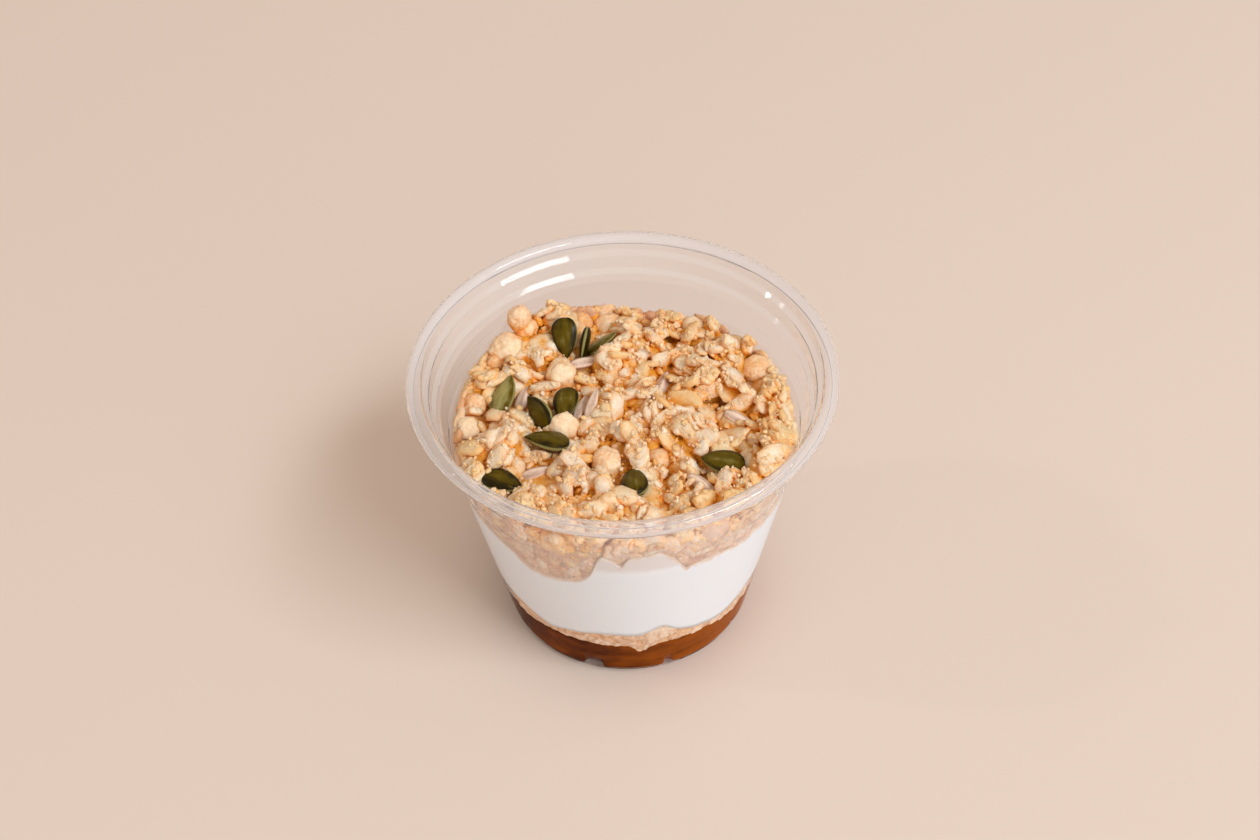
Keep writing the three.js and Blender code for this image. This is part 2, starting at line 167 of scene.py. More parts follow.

# Pumpkin seeds: x, y and lift over the heap in millimetres, heading, pitch and roll in degrees, size, and
# tone from dark to light. The fourth seed's light tone is partly painted sheen on its face.
PUMPKIN_SEEDS = np.array([
    [-13.1, 22.8, 1.6, -83, -44, 18, 0.9, 0.4], [-8.6, 21.8, 0.8, -108, -42, 80, 0.82, 0.1],
    [-4.4, 23.6, 0.3, 37, 14, -38, 0.82, 1.3], [-27.1, 7.4, 0.4, 68, 24, -26, 0.96, 1.4],
    [-19.2, 1.6, 0.1, 122, 14, -62, 0.89, 0.25], [-13.1, 3.2, 0.5, 262, -8, 8, 0.88, 0.5],
    [-17.2, -7.4, 0, 173, 8, 14, 0.96, 0.45], [-26.8, -18.6, -0.2, -25, -2, 0, 0.89, 0.05],
    [1.8, -20.6, -0.3, 91, -8, -5, 0.89, 0.3], [21.2, -15.9, 0.2, 167, 6, -5, 0.96, 0.55],
])

# How the lumps are spread: by the golden angle, leaving out those in or under other pieces, and their least
# size and its range beside the usual one
GOLDEN_ANGLE = 137.508
LUMP_LEAST = 0.8
LUMP_RANGE = 0.35
SCATTERED_PIECES = 86
FLAKE_EVERY = 3
SEED_CLEARANCE = 4.6 * MM
TAKEN_SHARE = 0.62

# Oats: range of sizes beside the usual one, thickness beside it, and share that may lie over a taken place
BROKEN_UNDER = ((0.36, 0.58), 1.7, 0.3)
BROKEN_OVER = ((0.36, 0.58), 1.7, 0.4)
WHOLE_OATS = ((0.7, 1.2), 1.0, 0.15)

# Ranges of an oat's own length, width and thickness, spread of its tilts in degrees and of its azimuth in
# radians, and shares of an oat's half length and of a chunk's width that are kept inside the wall
OAT_LENGTHS = (0.85, 1.15)
OAT_WIDTHS = (0.8, 1.3)
OAT_THICKNESSES = (0.8, 1.2)
OAT_TILT = 14
OAT_STRAY = 0.12
OAT_ROOM = 0.8
CHUNK_ROOM = 0.55

# How an oat lies: share of its half length by which a tilt raises it, shares of its half thickness that it
# stands over its bed and that the heap rises further, share of its outline that carries others, and the
# tilts of the large flakes in degrees
TILT_RISE = 0.35
BED_RISE = 0.7
PLATE_RISE = 0.4
PLATE_SHARE = 0.85
FLAKE_TILT = (4, 8)

# Shares of the pieces' sizes on which nothing more is laid, and which raise the heap
SEED_FREE = (0.66, 0.28)
PUFF_FREE = 0.48
CHUNK_FREE = 0.34
FLAKE_FREE = 0.9
CLUSTER_DOME = np.array([0.46, 0.46, 0.36])

# Height of chunks and small clusters over the core in millimetres, of sunflower seeds over their bed, and
# their half height and half width there, the last beside their length
CHUNK_LIFT = 0.9
LUMP_LIFTS = (0.2, 1.1)
SUNFLOWER_LIFT = 0.6 * MM
SUNFLOWER_DOME = 1.2 * MM
SUNFLOWER_BED = 0.2

# Crumbs on the heap: sizes beside the usual one and how often they come, range of each size, spread of the
# azimuths in radians, and share of its size that a crumb's middle lies over the heap
CRUMB_SIZES = [1.6, 1.0, 0.6]
CRUMB_SHARES = [0.1, 0.35, 0.55]
CRUMB_RANGE = (0.8, 1.2)
CRUMB_STRAY = 0.3
CRUMB_RISE = 0.22

# Painted shade in the heap's gaps: spread of the blur that gives its level, where the shade starts over
# that level, the depth over which it grows, share of it that is left at the wall, and margin over which
# that comes in
GAP_SPREAD = 1.5 * MM
GAP_START = 1.1 * MM
GAP_DEPTH = 1.8 * MM
WALL_GAPS = 0.3
WALL_MARGIN = 3.5 * MM

# Share of the heap's radius from where the pieces' tone rises towards the wall, and how much that adds to it
AMBER_FROM = 0.7
AMBER_TONE = 0.5

# How far apart the patterns of like pieces are drawn
PATTERN_STEP = 0.05

# Rows of the repeatable draws, one or a few in turn for each use
ROWS = {
    "cluster_turn": 5, "cluster_tone": 8, "crumb_layer": 21, "caramel_edge": 23, "caramel_bites": 25,
    "yoghurt_foot": 29, "yoghurt_edge": 31, "heap_side": 41, "core": 61, "core_fine": 71, "cluster_form": 81,
    "cluster_grains": 91, "lump_size": 92, "puff_form": 101, "puff_pits": 105, "puff_stretch": 107,
    "oats": 111, "oat_shade": 117, "sunflower": 131, "pumpkin_form": 141, "pumpkin_streaks": 151,
}

# Camera of the photograph's view: place, then pan, tilt and roll in degrees
CAMERA_PLACE = (0, -276.97 * MM, 336.95 * MM)
CAMERA_PAN = 0.286
CAMERA_TILT = 45.456
CAMERA_ROLL = -1.709
SENSOR_WIDTH = 36


def colour(red, green, blue):
    """Linear colour from 0 to 255 display values: c/12.92 when dark, else ((c + 0.055) / 1.055) ** 2.4."""
    shown = np.array([red, green, blue]) / 255
    linear = np.where(shown <= 0.04045, shown / 12.92, ((shown + 0.055) / 1.055) ** 2.4)
    return tuple(float(c) for c in linear)


def length(name, description, default):
    """A length property in metres."""
    return FloatProperty(name=name, description=description, default=default, unit="LENGTH", precision=5)


def number(name, description, default):
    """A whole number property."""
    return IntProperty(name=name, description=description, default=default)


def watts(name, description, default):
    """A property for a lamp's power in watts."""
    return FloatProperty(name=name, description=description, default=default, subtype="POWER")


def paint(name, description, default):
    """A colour property."""
    return FloatVectorProperty(
        name=name, description=description, default=default, subtype="COLOR", size=3, min=0, max=1,
    )


class PotSizes(bpy.types.PropertyGroup):
    """Sizes of the cup and heights of its filling."""

    cup_height: length("Cup height", "Height of the rim's top over the table", CUP_BOX[1].z)
    rim_radius: length("Rim radius", "Outer radius of the rolled rim", 47.5 * MM)
    bead_radius: length("Bead radius", "Radius of the rolled rim's own section", 1.75 * MM)
    wall: length("Wall", "Thickness of the cup's wall", 0.6 * MM)
    curl: length("Curl", "Thickness of the ledges and of the rolled rim", 0.32 * MM)
    base_radius: length("Base radius", "Outer radius just over the rounded foot", 29.6 * MM)
    foot_in: length("Foot ring, inside", "Inner radius of the flat ring the cup stands on", 24 * MM)
    foot_out: length("Foot ring, outside", "Outer radius of the flat ring the cup stands on", 27.6 * MM)
    foot_rounding: length("Foot rounding", "Height of the rounded corner of the foot", 2 * MM)
    base_recess: length("Base recess", "Height of the base's middle over the table", 1.4 * MM)
    shoulder_radius: length("Shoulder radius", "Outer radius at the top of the plain wall", 41.55 * MM)
    shoulder_height: length("Shoulder height", "Height of the top of the plain wall", 63.5 * MM)
    caramel_top: length("Caramel top", "Height of the caramel", 12.7 * MM)
    crumb_top: length("Crumb top", "Height of the layer of crumbs", 17.2 * MM)
    yoghurt_top: length("Yoghurt top", "Height of the yoghurt", 47 * MM)
    heap_top: length("Heap top", "Height of the granola heap at the wall", 56.6 * MM)
    heap_crown: length("Heap crown", "How much higher the heap's middle is", 1.2 * MM)
    core_depth: length("Core depth", "How far the heap's bare core lies below its outline", 4.2 * MM)


class GranolaMix(bpy.types.PropertyGroup):
    """Sizes and numbers of the pieces that make up the heap."""

    seed: number("Seed", "Start of the heap's random draws", 7)
    puff: length("Puff", "Width of a puffed grain", 6.4 * MM)
    chunk: length("Chunk", "Width of a large cluster", 8.6 * MM)
    lump: length("Lump", "Width of a small cluster", 9 * MM)
    oat_length: length("Oat length", "Length of an oat flake", 6.2 * MM)
    oat_width: length("Oat width", "Width of an oat flake", 3.6 * MM)
    oat_thickness: length("Oat thickness", "Thickness of an oat flake", 1.8 * MM)
    oats: number("Oats", "Oat flakes laid on the heap", 480)
    fragments: number("Broken oats", "Broken oats laid under the flakes", 800)
    crumb: length("Crumb", "Width of a loose crumb", 0.95 * MM)
    crumbs: number("Crumbs", "Loose crumbs on the heap", 7000)
    side_oats: number("Oats at the wall", "Oat flakes pressed to the wall", 400)
    side_crumbs: number("Crumbs at the wall", "Crumbs pressed to the wall", 900)
    sunflower_length: length("Sunflower seed", "Length of a sunflower seed", 8.2 * MM)
    pumpkin_length: length("Pumpkin seed length", "Length of a usual pumpkin seed", 10.6 * MM)
    pumpkin_width: length("Pumpkin seed width", "Width of a usual pumpkin seed", 6.6 * MM)
    pumpkin_thickness: length("Pumpkin seed thickness", "Thickness of a usual pumpkin seed", 2.6 * MM)


class PotColours(bpy.types.PropertyGroup):
    """Colours of the food and the plastic."""

    plastic: paint("Plastic", "Tint of the clear plastic", colour(250, 250, 253))
    # Dark caramel is the colour of the darker streaks and also the painted shade on the caramel's left side
    caramel_streak_and_shade: paint("Dark caramel", "Caramel in its darker streaks", colour(68, 22, 0))
    caramel: paint("Caramel", "Caramel in its lighter streaks", colour(152, 76, 6))
    yoghurt: paint("Yoghurt", "Yoghurt at the wall", colour(234, 237, 242))
    yoghurt_smear: paint("Yoghurt smear", "Thin yoghurt over the granola at the wall", colour(222, 213, 210))
    yoghurt_brink: paint("Yoghurt brink", "Yoghurt that runs out in the granola", colour(214, 184, 160))
    oat_pale: paint("Pale oats", "Oats at their palest", colour(241, 223, 200))
    oat_golden: paint("Golden oats", "Oats at their usual tone", colour(238, 204, 155))
    oat_toasted: paint("Toasted oats", "Oats where they are browned", colour(222, 150, 44))
    crumb_pale: paint("Pale crumbs", "Flakes of the crumb layer", colour(246, 220, 194))
    crumb: paint("Crumbs", "Crumb layer", colour(240, 193, 150))
    crumb_seam: paint("Crumb seams", "Browner seams of the crumb layer", colour(192, 130, 84))
    # Tint of the painted shade and haze drawn over the granola at the wall
    wall_shade_tint: paint("Wall film", "Moist film on the granola at the wall", colour(202, 147, 112))
    # Syrup is also the deep orange drawn in the heap's gaps as painted shade
    syrup: paint("Syrup", "Baked syrup and crumbs deep in the heap", colour(232, 152, 26))
    # Dark syrup is the syrup's own colour and also the painted shade in the hollows of the heap's core
    syrup_dark_and_shade: paint("Dark syrup", "Baked syrup in the deepest gaps", colour(164, 84, 0))
    puff_pale: paint("Pale puffs", "Puffed grains at their palest", colour(247, 219, 184))
    puff_amber: paint("Amber puffs", "Puffed grains at their darkest", colour(232, 160, 96))
    sunflower: paint("Sunflower seeds", "Body of the sunflower seeds", colour(236, 208, 186))
    sunflower_dark: paint("Sunflower streaks", "Grey streaks of the sunflower seeds", colour(180, 146, 128))
    pumpkin: paint("Pumpkin seeds", "Skin of the pumpkin seeds", colour(90, 72, 2))
    pumpkin_dark: paint("Pumpkin seed shade", "Darkest skin of the pumpkin seeds", colour(34, 25, 0))
    pumpkin_rim: paint("Pumpkin seed rim", "Pale edge of the pumpkin seeds", colour(166, 156, 96))


class StageSettings(bpy.types.PropertyGroup):
    """Floor, light and lens."""

    lens: FloatProperty(name="Lens", description="Focal length", default=50, subtype="DISTANCE_CAMERA")
    floor: paint("Floor", "Colour of the plain floor", colour(225, 207, 195))
    air: paint("Air", "Colour of the soft light all round", colour(255, 237, 219))
    air_strength: FloatProperty(name="Air strength", description="Soft light all round", default=0.62)
    window_power: watts("Window power", "Main soft light", 35)
    window_colour: paint("Window light", "Colour of the main soft light", (0.85, 0.94, 1.0))
    window_width: length("Window width", "Width of the main soft light", 1.37)
    window_height: length("Window height", "Height of the main soft light", 0.42)
    spot_power: watts("Far window", "Small light far away", 3.0)
    front_power: watts("Front window", "Low soft light in front", 13)
    front_colour: paint("Front light", "Colour of the low soft light in front", (0.84, 0.93, 1.0))


class PotSettings(bpy.types.PropertyGroup):
    """All settings of the granola pot."""

    sizes: PointerProperty(type=PotSizes)
    mix: PointerProperty(type=GranolaMix)
    colours: PointerProperty(type=PotColours)
    stage: PointerProperty(type=StageSettings)


def pot():
    """The scene's settings."""
    return bpy.context.scene.granola_pot


# Noise and draws worked out for whole arrays

def hashed(cells, row):
    """Repeatable numbers from 0 to 1 for whole-number places: the fraction of a stretched sine of their
    weighted sum."""
    weights = np.array([12.9898, 78.233, 37.719])[:cells.shape[-1]]
    return np.mod(np.sin(cells @ weights + row * 4.137) * 43758.5453, 1)


def own_draws(count, row):
    """A repeatable number from 0 to 1 for each of a count of pieces."""
    return hashed(np.arange(count)[:, None].astype(float), row)


def paired_draws(count, parts, row):
    """A repeatable number from 0 to 1 for each part of each of a count of pieces."""
    cells = np.stack(np.meshgrid(np.arange(count), np.arange(parts), indexing="ij"), axis=-1)
    return hashed(cells.astype(float), row)


def soft_noise(points, size, row):
    """Noise from -1 to 1: draws at the corners of cubes of a size, blended by 3t^2 - 2t^3 between them."""
    base = np.floor(points / size)
    share = points / size - base
    share = share * share * (3 - 2 * share)
    total = np.zeros(points.shape[:-1])
    for corner in np.ndindex(2, 2, 2):
        weight = np.prod(np.where(corner, share, 1 - share), axis=-1)
        total += weight * hashed(base + corner, row)
    return 2 * total - 1


def rough_noise(points, size, row, octaves=3):
    """Noise from about -1 to 1: sum of soft noises, each half as large and half as high as the one before."""
    return sum(soft_noise(points, size / 2 ** k, row + k) / 2 ** k for k in range(octaves)) / 1.5


def grains(points, size, row):
    """Grain pattern: one grain is drawn in each cube of a size. Gives each point's distance to the nearest
    grain and the second nearest, in sizes, and the nearest grain's own number from 0 to 1."""
    base = np.floor(points / size)
    first = np.full(points.shape[:-1], np.inf)
    second = first.copy()
    own = np.zeros(points.shape[:-1])
    for offset in np.ndindex(3, 3, 3):
        cell = base + offset - np.array([1, 1, 1])
        grain = cell + np.stack([hashed(cell, row + k) for k in range(3)], axis=-1)
        away = np.linalg.norm(points / size - grain, axis=-1)
        nearer = away < first
        second = np.where(nearer, first, np.minimum(second, away))
        own = np.where(nearer, hashed(cell, row + 3), own)
        first = np.minimum(first, away)
    return first, second, own


# Form of the cup and its filling

def wall_inside(z):
    """Inside radius of the plain wall at a height: a straight taper from foot to shoulder."""
    s = pot().sizes
    slope = (s.shoulder_radius - s.base_radius) / (s.shoulder_height - s.foot_rounding)
    return s.base_radius - s.wall + slope * (z - s.foot_rounding)


def notch_turn(azimuth):
    """Angle that passes a full turn from each notch of the foot to the next, and is 0 at the first."""
    return NOTCHES * (azimuth - math.radians(NOTCH_AZIMUTH))


def notch_dent(azimuth, z):
    """How far the foot's notches press the wall in: depth * max(0, cos(turn))^2 * sqrt(1 - z / height)."""
    low = np.maximum(0, 1 - z / NOTCH_HEIGHT)
    return NOTCH_DEPTH * np.maximum(0, np.cos(notch_turn(azimuth))) ** 2 * np.sqrt(low)


def bumps_round(bumps, azimuth):
    """Sum of rounded bumps round the cup: height * exp(-(distance / half width)^2) for each."""
    away = (np.degrees(azimuth)[..., None] - bumps[:, 0] + 180) % 360 - 180
    return np.sum(bumps[:, 2] * np.exp(-(away / bumps[:, 1]) ** 2), axis=-1)


def caramel_top(u, azimuth):
    """Height of the caramel: level in the middle, with bumps that grow with the cube of radius share u."""
    return pot().sizes.caramel_top + u ** 3 * bumps_round(CARAMEL_BUMPS, azimuth)


def crumb_top(u, azimuth):
    """Height of the crumb layer, uneven towards the wall as the caramel is."""
    return pot().sizes.crumb_top + u ** 3 * bumps_round(CRUMB_BUMPS, azimuth)


def yoghurt_top(u, azimuth):
    """Height of the yoghurt, with bumps that grow with the fourth power of the radius share u."""
    return pot().sizes.yoghurt_top + u ** 4 * bumps_round(YOGHURT_BUMPS, azimuth)


def heap_top(x, y):
    """Height of the heap's outline: a low crown that falls with the square of the radius, and rounded
    bumps."""
    s = pot().sizes
    crown = s.heap_crown * (1 - (x * x + y * y) / wall_inside(s.heap_top) ** 2)
    away = (x[..., None] - HEAP_BUMPS[:, 0]) ** 2 + (y[..., None] - HEAP_BUMPS[:, 1]) ** 2
    return s.heap_top + crown + np.sum(HEAP_BUMPS[:, 3] * np.exp(-away / HEAP_BUMPS[:, 2] ** 2), axis=-1)


def core_top(x, y):
    """Top of the heap's bare core: a set depth below its outline, and never down in the yoghurt."""
    s = pot().sizes
    u = np.hypot(x, y) / wall_inside(s.heap_top)
    least = yoghurt_top(u, np.arctan2(x, -y)) + CORE_LEAST
    return np.maximum(least, heap_top(x, y) - s.core_depth)


# Meshes

def put_piece(
    name, points, faces, material, nodes=(), attributes=None, smooth=True, others=(), zone=None,
):
    """Adds a piece from an array of points and a list of face arrays, each of faces with one number of
    corners. It rides on the part's one body and stands for the named nodes. Where there are other materials,
    the zone gives the number of the material at each point, and a face takes the lowest of its points."""
    mesh = bpy.data.meshes.new(name)
    corners = np.concatenate([f.ravel() for f in faces])
    counts = np.concatenate([np.full(len(f), f.shape[1]) for f in faces])
    mesh.vertices.add(len(points))
    mesh.vertices.foreach_set("co", np.ascontiguousarray(points, dtype=np.float32).ravel())
    mesh.loops.add(len(corners))
    mesh.loops.foreach_set("vertex_index", corners.astype(np.int32))
    mesh.polygons.add(len(counts))
    mesh.polygons.foreach_set("loop_start", (np.cumsum(counts) - counts).astype(np.int32))
    mesh.update(calc_edges=True)
    mesh.polygons.foreach_set("use_smooth", np.full(len(counts), smooth))
    for key, values in (attributes or {}).items():
        attribute = mesh.attributes.new(key, "FLOAT", "POINT")
        attribute.data.foreach_set("value", values.astype(np.float32).ravel())
    for item in (material, *others):
        mesh.materials.append(item)
    if others:
        index = np.concatenate([zone[f].min(axis=1) for f in faces])
        mesh.polygons.foreach_set("material_index", index.astype(np.int32))
    piece = bpy.data.objects.new(name, mesh)
    bpy.context.scene.collection.objects.link(piece)
    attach(piece, "root")
    if nodes:
        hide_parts(*nodes)
    return piece


def outward(points, faces):
    """Turns every face round if the closed surface's signed volume, the sum of a.(b x c) / 6, is negative."""
    volume = 0
    for f in faces:
        for k in range(1, f.shape[1] - 1):
            a, b, c = points[f[:, 0]], points[f[:, k]], points[f[:, k + 1]]
            volume += np.sum(a * np.cross(b, c))
    return faces if volume > 0 else [f[:, ::-1] for f in faces]


def ring_faces(rings, steps):
    """Faces of a surface of closed rings between two single end points: fans at the ends, quads between."""
    here = np.arange(steps)
    beyond = (here + 1) % steps
    start = np.zeros(steps, dtype=int)
    first = np.stack([start, 1 + beyond, 1 + here], axis=1)
    row = (1 + steps * np.arange(rings - 1))[:, None]
    quads = np.stack([row + here, row + beyond, row + steps + beyond, row + steps + here], axis=-1)
    last_row = 1 + steps * (rings - 1)
    last = np.stack([start + 1 + steps * rings, last_row + here, last_row + beyond], axis=1)
    return [np.concatenate([first, last]), quads.reshape(-1, 4)]


def closed_rows(rows):
    """Closed surface from rows of points round the cup. The first and last rows are drawn to one point."""
    rings, steps = len(rows) - 2, rows.shape[1]
    points = np.concatenate([rows[0].mean(0)[None], rows[1:-1].reshape(-1, 3), rows[-1].mean(0)[None]])
    return points, outward(points, ring_faces(rings, steps))


def of_rows(values):
    """Values for each point of a surface from closed_rows, from values for each point of its rows."""
    return np.concatenate([values[:1].mean(axis=1), values[1:-1].ravel(), values[-1:].mean(axis=1)])


def round_azimuths(steps):
    """Even steps of azimuth round the cup."""
    return np.linspace(0, 2 * np.pi, steps, endpoint=False)


def upright(r, azimuth, z):
    """Points at a radius, azimuth and height: (r sin a, -r cos a, z)."""
    r, azimuth, z = np.broadcast_arrays(r, azimuth, z)
    return np.stack([r * np.sin(azimuth), -r * np.cos(azimuth), z], axis=-1)


def rounded(corners, radii, steps=6):
    """Outline through corners, each replaced by an arc of its own radius. The arc's points divide the turn
    evenly and lie at its centre plus a radius that swings from one tangent point to the other."""
    corners = np.array(corners, dtype=float)
    outline = [corners[:1]]
    for before, at, after, radius in zip(corners[:-2], corners[1:-1], corners[2:], radii):
        back = (before - at) / np.linalg.norm(before - at)
        on = (after - at) / np.linalg.norm(after - at)
        half = math.acos(np.clip(back @ on, -1, 1)) / 2
        middle = (back + on) / np.linalg.norm(back + on)
        centre = at + middle * radius / math.sin(half)
        start = at + back * radius / math.tan(half) - centre
        end = at + on * radius / math.tan(half) - centre
        swing = np.linspace(0, 1, steps)[:, None]
        turn = math.pi - 2 * half
        bend = (np.sin((1 - swing) * turn) * start + np.sin(swing * turn) * end) / math.sin(turn)
        outline.append(centre + bend)
    outline.append(corners[-1:])
    return np.concatenate(outline)


def arc(centre, radius, start, end, steps):
    """Points on a circle between two angles in degrees."""
    angle = np.radians(np.linspace(start, end, steps))
    return np.stack([centre[0] + radius * np.cos(angle), centre[1] + radius * np.sin(angle)], axis=1)


def ball(levels):
    """Unit ball: an icosahedron whose triangles are split in four and pushed out to the sphere, level by
    level."""
    golden = (1 + math.sqrt(5)) / 2
    points = np.array([
        [-1, golden, 0], [1, golden, 0], [-1, -golden, 0], [1, -golden, 0], [0, -1, golden], [0, 1, golden],
        [0, -1, -golden], [0, 1, -golden], [golden, 0, -1], [golden, 0, 1], [-golden, 0, -1], [-golden, 0, 1],
    ])
    faces = np.array([
        [0, 11, 5], [0, 5, 1], [0, 1, 7], [0, 7, 10], [0, 10, 11], [1, 5, 9], [5, 11, 4], [11, 10, 2],
        [10, 7, 6], [7, 1, 8], [3, 9, 4], [3, 4, 2], [3, 2, 6], [3, 6, 8], [3, 8, 9], [4, 9, 5], [2, 4, 11],
        [6, 2, 10], [8, 6, 7], [9, 8, 1],
    ])
    for _ in range(levels):
        edges = np.sort(np.concatenate([faces[:, [0, 1]], faces[:, [1, 2]], faces[:, [2, 0]]]), axis=1)
        edges, back = np.unique(edges, axis=0, return_inverse=True)
        a, b, c = len(points) + back.reshape(3, -1)
        points = np.concatenate([points, points[edges].mean(axis=1)])
        i, j, k = faces.T
        faces = np.concatenate([np.stack(t, axis=1) for t in ((i, a, c), (a, j, b), (c, b, k), (a, b, c))])
        points /= np.linalg.norm(points, axis=1)[:, None]
    return points / np.linalg.norm(points, axis=1)[:, None], faces


def lengthwise(steps, around):
    """Shares from -1 to 1 along a seed or flake, -cos(pi k / steps), and even angles round it."""
    along = -np.cos(np.pi * np.arange(1, steps) / steps)[:, None]
    return along, 2 * np.pi * np.arange(around) / around


def with_tips(along, y, z):
    """Points of a seed or flake from its rings, with a single point at each tip."""
    rings = np.stack(np.broadcast_arrays(along, y, z), axis=-1)
    return np.concatenate([[[-1, 0, 0]], rings.reshape(-1, 3), [[1, 0, 0]]])


def of_rings(values, tip):
    """Values for each point from with_tips, from values for each point of its rings and one for the tips."""
    return np.concatenate([[tip], values.ravel(), [tip]])


def joined(shapes, faces):
    """Many copies of one mesh as a single one: shapes holds each copy's points, faces those of one copy."""
    copies, count = shapes.shape[:2]
    shift = (count * np.arange(copies))[:, None, None]
    return shapes.reshape(-1, 3), [(f[None] + shift).reshape(-1, f.shape[1]) for f in faces]


def spin(heading, pitch, roll):
    """Turning matrices from degrees: roll about X, then the +X end raised by pitch, then heading about Z."""
    h, p, r = (np.radians(np.asarray(angle, dtype=float)) for angle in (heading, pitch, roll))
    h, p, r = np.broadcast_arrays(h, p, r)
    ch, sh, cp, sp, cr, sr = np.cos(h), np.sin(h), np.cos(p), np.sin(p), np.cos(r), np.sin(r)
    rows = [
        [ch * cp, -ch * sp * sr - sh * cr, -ch * sp * cr + sh * sr],
        [sh * cp, -sh * sp * sr + ch * cr, -sh * sp * cr - ch * sr],
        [sp, cp * sr, cp * cr],
    ]
    return np.stack([np.stack(row, axis=-1) for row in rows], axis=-2)


def leaning(slope_x, slope_y):
    """Turning matrices that lay a flat piece on a plane of given slopes: its Z goes to the plane's normal."""
    ones = np.ones_like(slope_x)
    z = np.stack([-slope_x, -slope_y, ones], axis=-1)
    z /= np.linalg.norm(z, axis=-1)[..., None]
    x = np.stack([ones, np.zeros_like(ones), slope_x], axis=-1)
    x /= np.linalg.norm(x, axis=-1)[..., None]
    return np.stack([x, np.cross(z, x), z], axis=-1)


def drawn_by(points, scale):
    """Points whose distance from the upright axis is multiplied by a scale."""
    return points * np.stack([scale, scale, np.ones_like(scale)], axis=-1)


def set_down(shapes, turn, place):
    """Turns each copy by its own matrix and moves it to its own place, held back from the wall."""
    points = np.einsum("nij,nkj->nki", turn, shapes) + place[:, None, :]
    away = np.hypot(points[..., 0], points[..., 1])
    return drawn_by(points, np.minimum(1, (wall_inside(points[..., 2]) - FROM_WALL) / np.maximum(away, MM)))


# Materials

class Tree:
    """Short ways to add and join the nodes of a material or a node group."""

    def __init__(self, tree):
        self.tree = tree

    def put(self, socket, value):
        """Links an input to another node's output, or sets its value."""
        if isinstance(value, bpy.types.NodeSocket):
            self.tree.links.new(value, socket)
        else:
            socket.default_value = value

    def add(self, kind, values=None, **settings):
        """Adds a node, sets its own settings, and sets or links its inputs by name or number."""
        node = self.tree.nodes.new(kind)
        for key, value in settings.items():
            setattr(node, key, value)
        for key, value in (values or {}).items():
            self.put(node.inputs[key], value)
        return node

    def math(self, operation, *values):
        """Result of a Math node."""
        return self.add("ShaderNodeMath", dict(enumerate(values)), operation=operation).outputs[0]

    def scaled(self, value, factor, offset):
        """A value times a factor, plus an offset."""
        return self.math("MULTIPLY_ADD", value, factor, offset)

    def mix(self, share, first, second):
        """Mix of two colours."""
        node = self.add("ShaderNodeMix", {0: share, 6: first, 7: second}, data_type="RGBA")
        return node.outputs[2]

    def ramp(self, value, low, high):
        """A value carried from the range low to high onto 0 to 1, held at both ends, with soft ends."""
        names = {"Value": value, "From Min": low, "From Max": high}
        return self.add("ShaderNodeMapRange", names, interpolation_type="SMOOTHSTEP").outputs["Result"]

    def place(self):
        """The piece's own coordinates."""
        return self.add("ShaderNodeTexCoord").outputs["Object"]

    def noise(self, scale, detail=3.0, roughness=0.55, stretch=None):
        """Noise on the piece's own coordinates, from 0 to 1."""
        place = self.place()
        if stretch:
            place = self.add("ShaderNodeMapping", {"Vector": place, "Scale": stretch}).outputs["Vector"]
        names = {"Vector": place, "Scale": scale, "Detail": detail, "Roughness": roughness}
        return self.add("ShaderNodeTexNoise", names).outputs["Fac"]

    def attribute(self, name):
        """A value kept on the piece's points."""
        return self.add("ShaderNodeAttribute", attribute_name=name).outputs["Fac"]

    def bump(self, height, strength, distance):
        """Normal bent by a height."""
        names = {"Height": height, "Strength": strength, "Distance": distance}
        return self.add("ShaderNodeBump", names).outputs["Normal"]

    def group(self, name, **values):
        """A node group placed with its own values."""
        node = self.add("ShaderNodeGroup", node_tree=node_group(name))
        for key, value in values.items():
            self.put(node.inputs[key.replace("_", " ").capitalize()], value)
        return node


def rgba(c):
    """A colour with full cover."""
    return (*c, 1)


def new_material(name):
    """An empty material with a Principled shader on its output."""
    material = bpy.data.materials.new(name)
    material.use_nodes = True
    material.node_tree.nodes.clear()
    tree = Tree(material.node_tree)
    shader = tree.add("ShaderNodeBsdfPrincipled")
    tree.add("ShaderNodeOutputMaterial", {"Surface": shader.outputs["BSDF"]})
    return material, tree, shader


def set_shader(tree, shader, **values):
    """Sets or links the shader's inputs, named as in the panel with underscores for spaces."""
    for key, value in values.items():
        tree.put(shader.inputs[key.replace("_", " ")], value)


def fill_baked_tones(tree):
    """Colour of baked grain: pale to golden by the piece's own tone, soft patches and fine flecks, toasted
    where spots and the given edge value are high, drawn to a deep colour in the gaps as painted shade, and
    under painted shade and haze of the wall where the piece lies against it."""
    inside = tree.add("NodeGroupInput").outputs
    patches = tree.noise(scale=190)
    spots = tree.noise(scale=520)
    flecks = tree.noise(scale=1700, detail=2)
    mottle = tree.math("ADD", tree.math("MULTIPLY", patches, 0.8), tree.math("MULTIPLY", flecks, 1.1))
    tone = tree.math("ADD", inside["Tone"], tree.math("SUBTRACT", mottle, 0.95))
    golden = tree.mix(tree.ramp(tone, 0.1, 0.95), inside["Pale"], inside["Golden"])
    browned = tree.scaled(spots, 0.55, tree.math("MULTIPLY", flecks, 0.35))
    browned = tree.scaled(inside["Edge"], 0.5, browned)
    share = tree.math("MULTIPLY", tree.ramp(browned, 0.5, 0.95), inside["Toasting"])
    result = tree.mix(share, golden, inside["Toasted"])
    # Painted shade: points deep in the heap's gaps are drawn towards the deep orange
    low = tree.scaled(spots, 0.7, tree.math("SUBTRACT", inside["Gap"], 0.35))
    result = tree.mix(tree.math("MULTIPLY", tree.ramp(low, 0.0, 0.85), 0.95), result, inside["Deep"])
    # Painted shade and haze of the wall over the pieces that lie against it
    film = tree.math("MULTIPLY", inside["Film"], tree.ramp(patches, -0.2, 0.7))
    tree.add("NodeGroupOutput", {"Colour": tree.mix(film, result, inside["Moist"])})


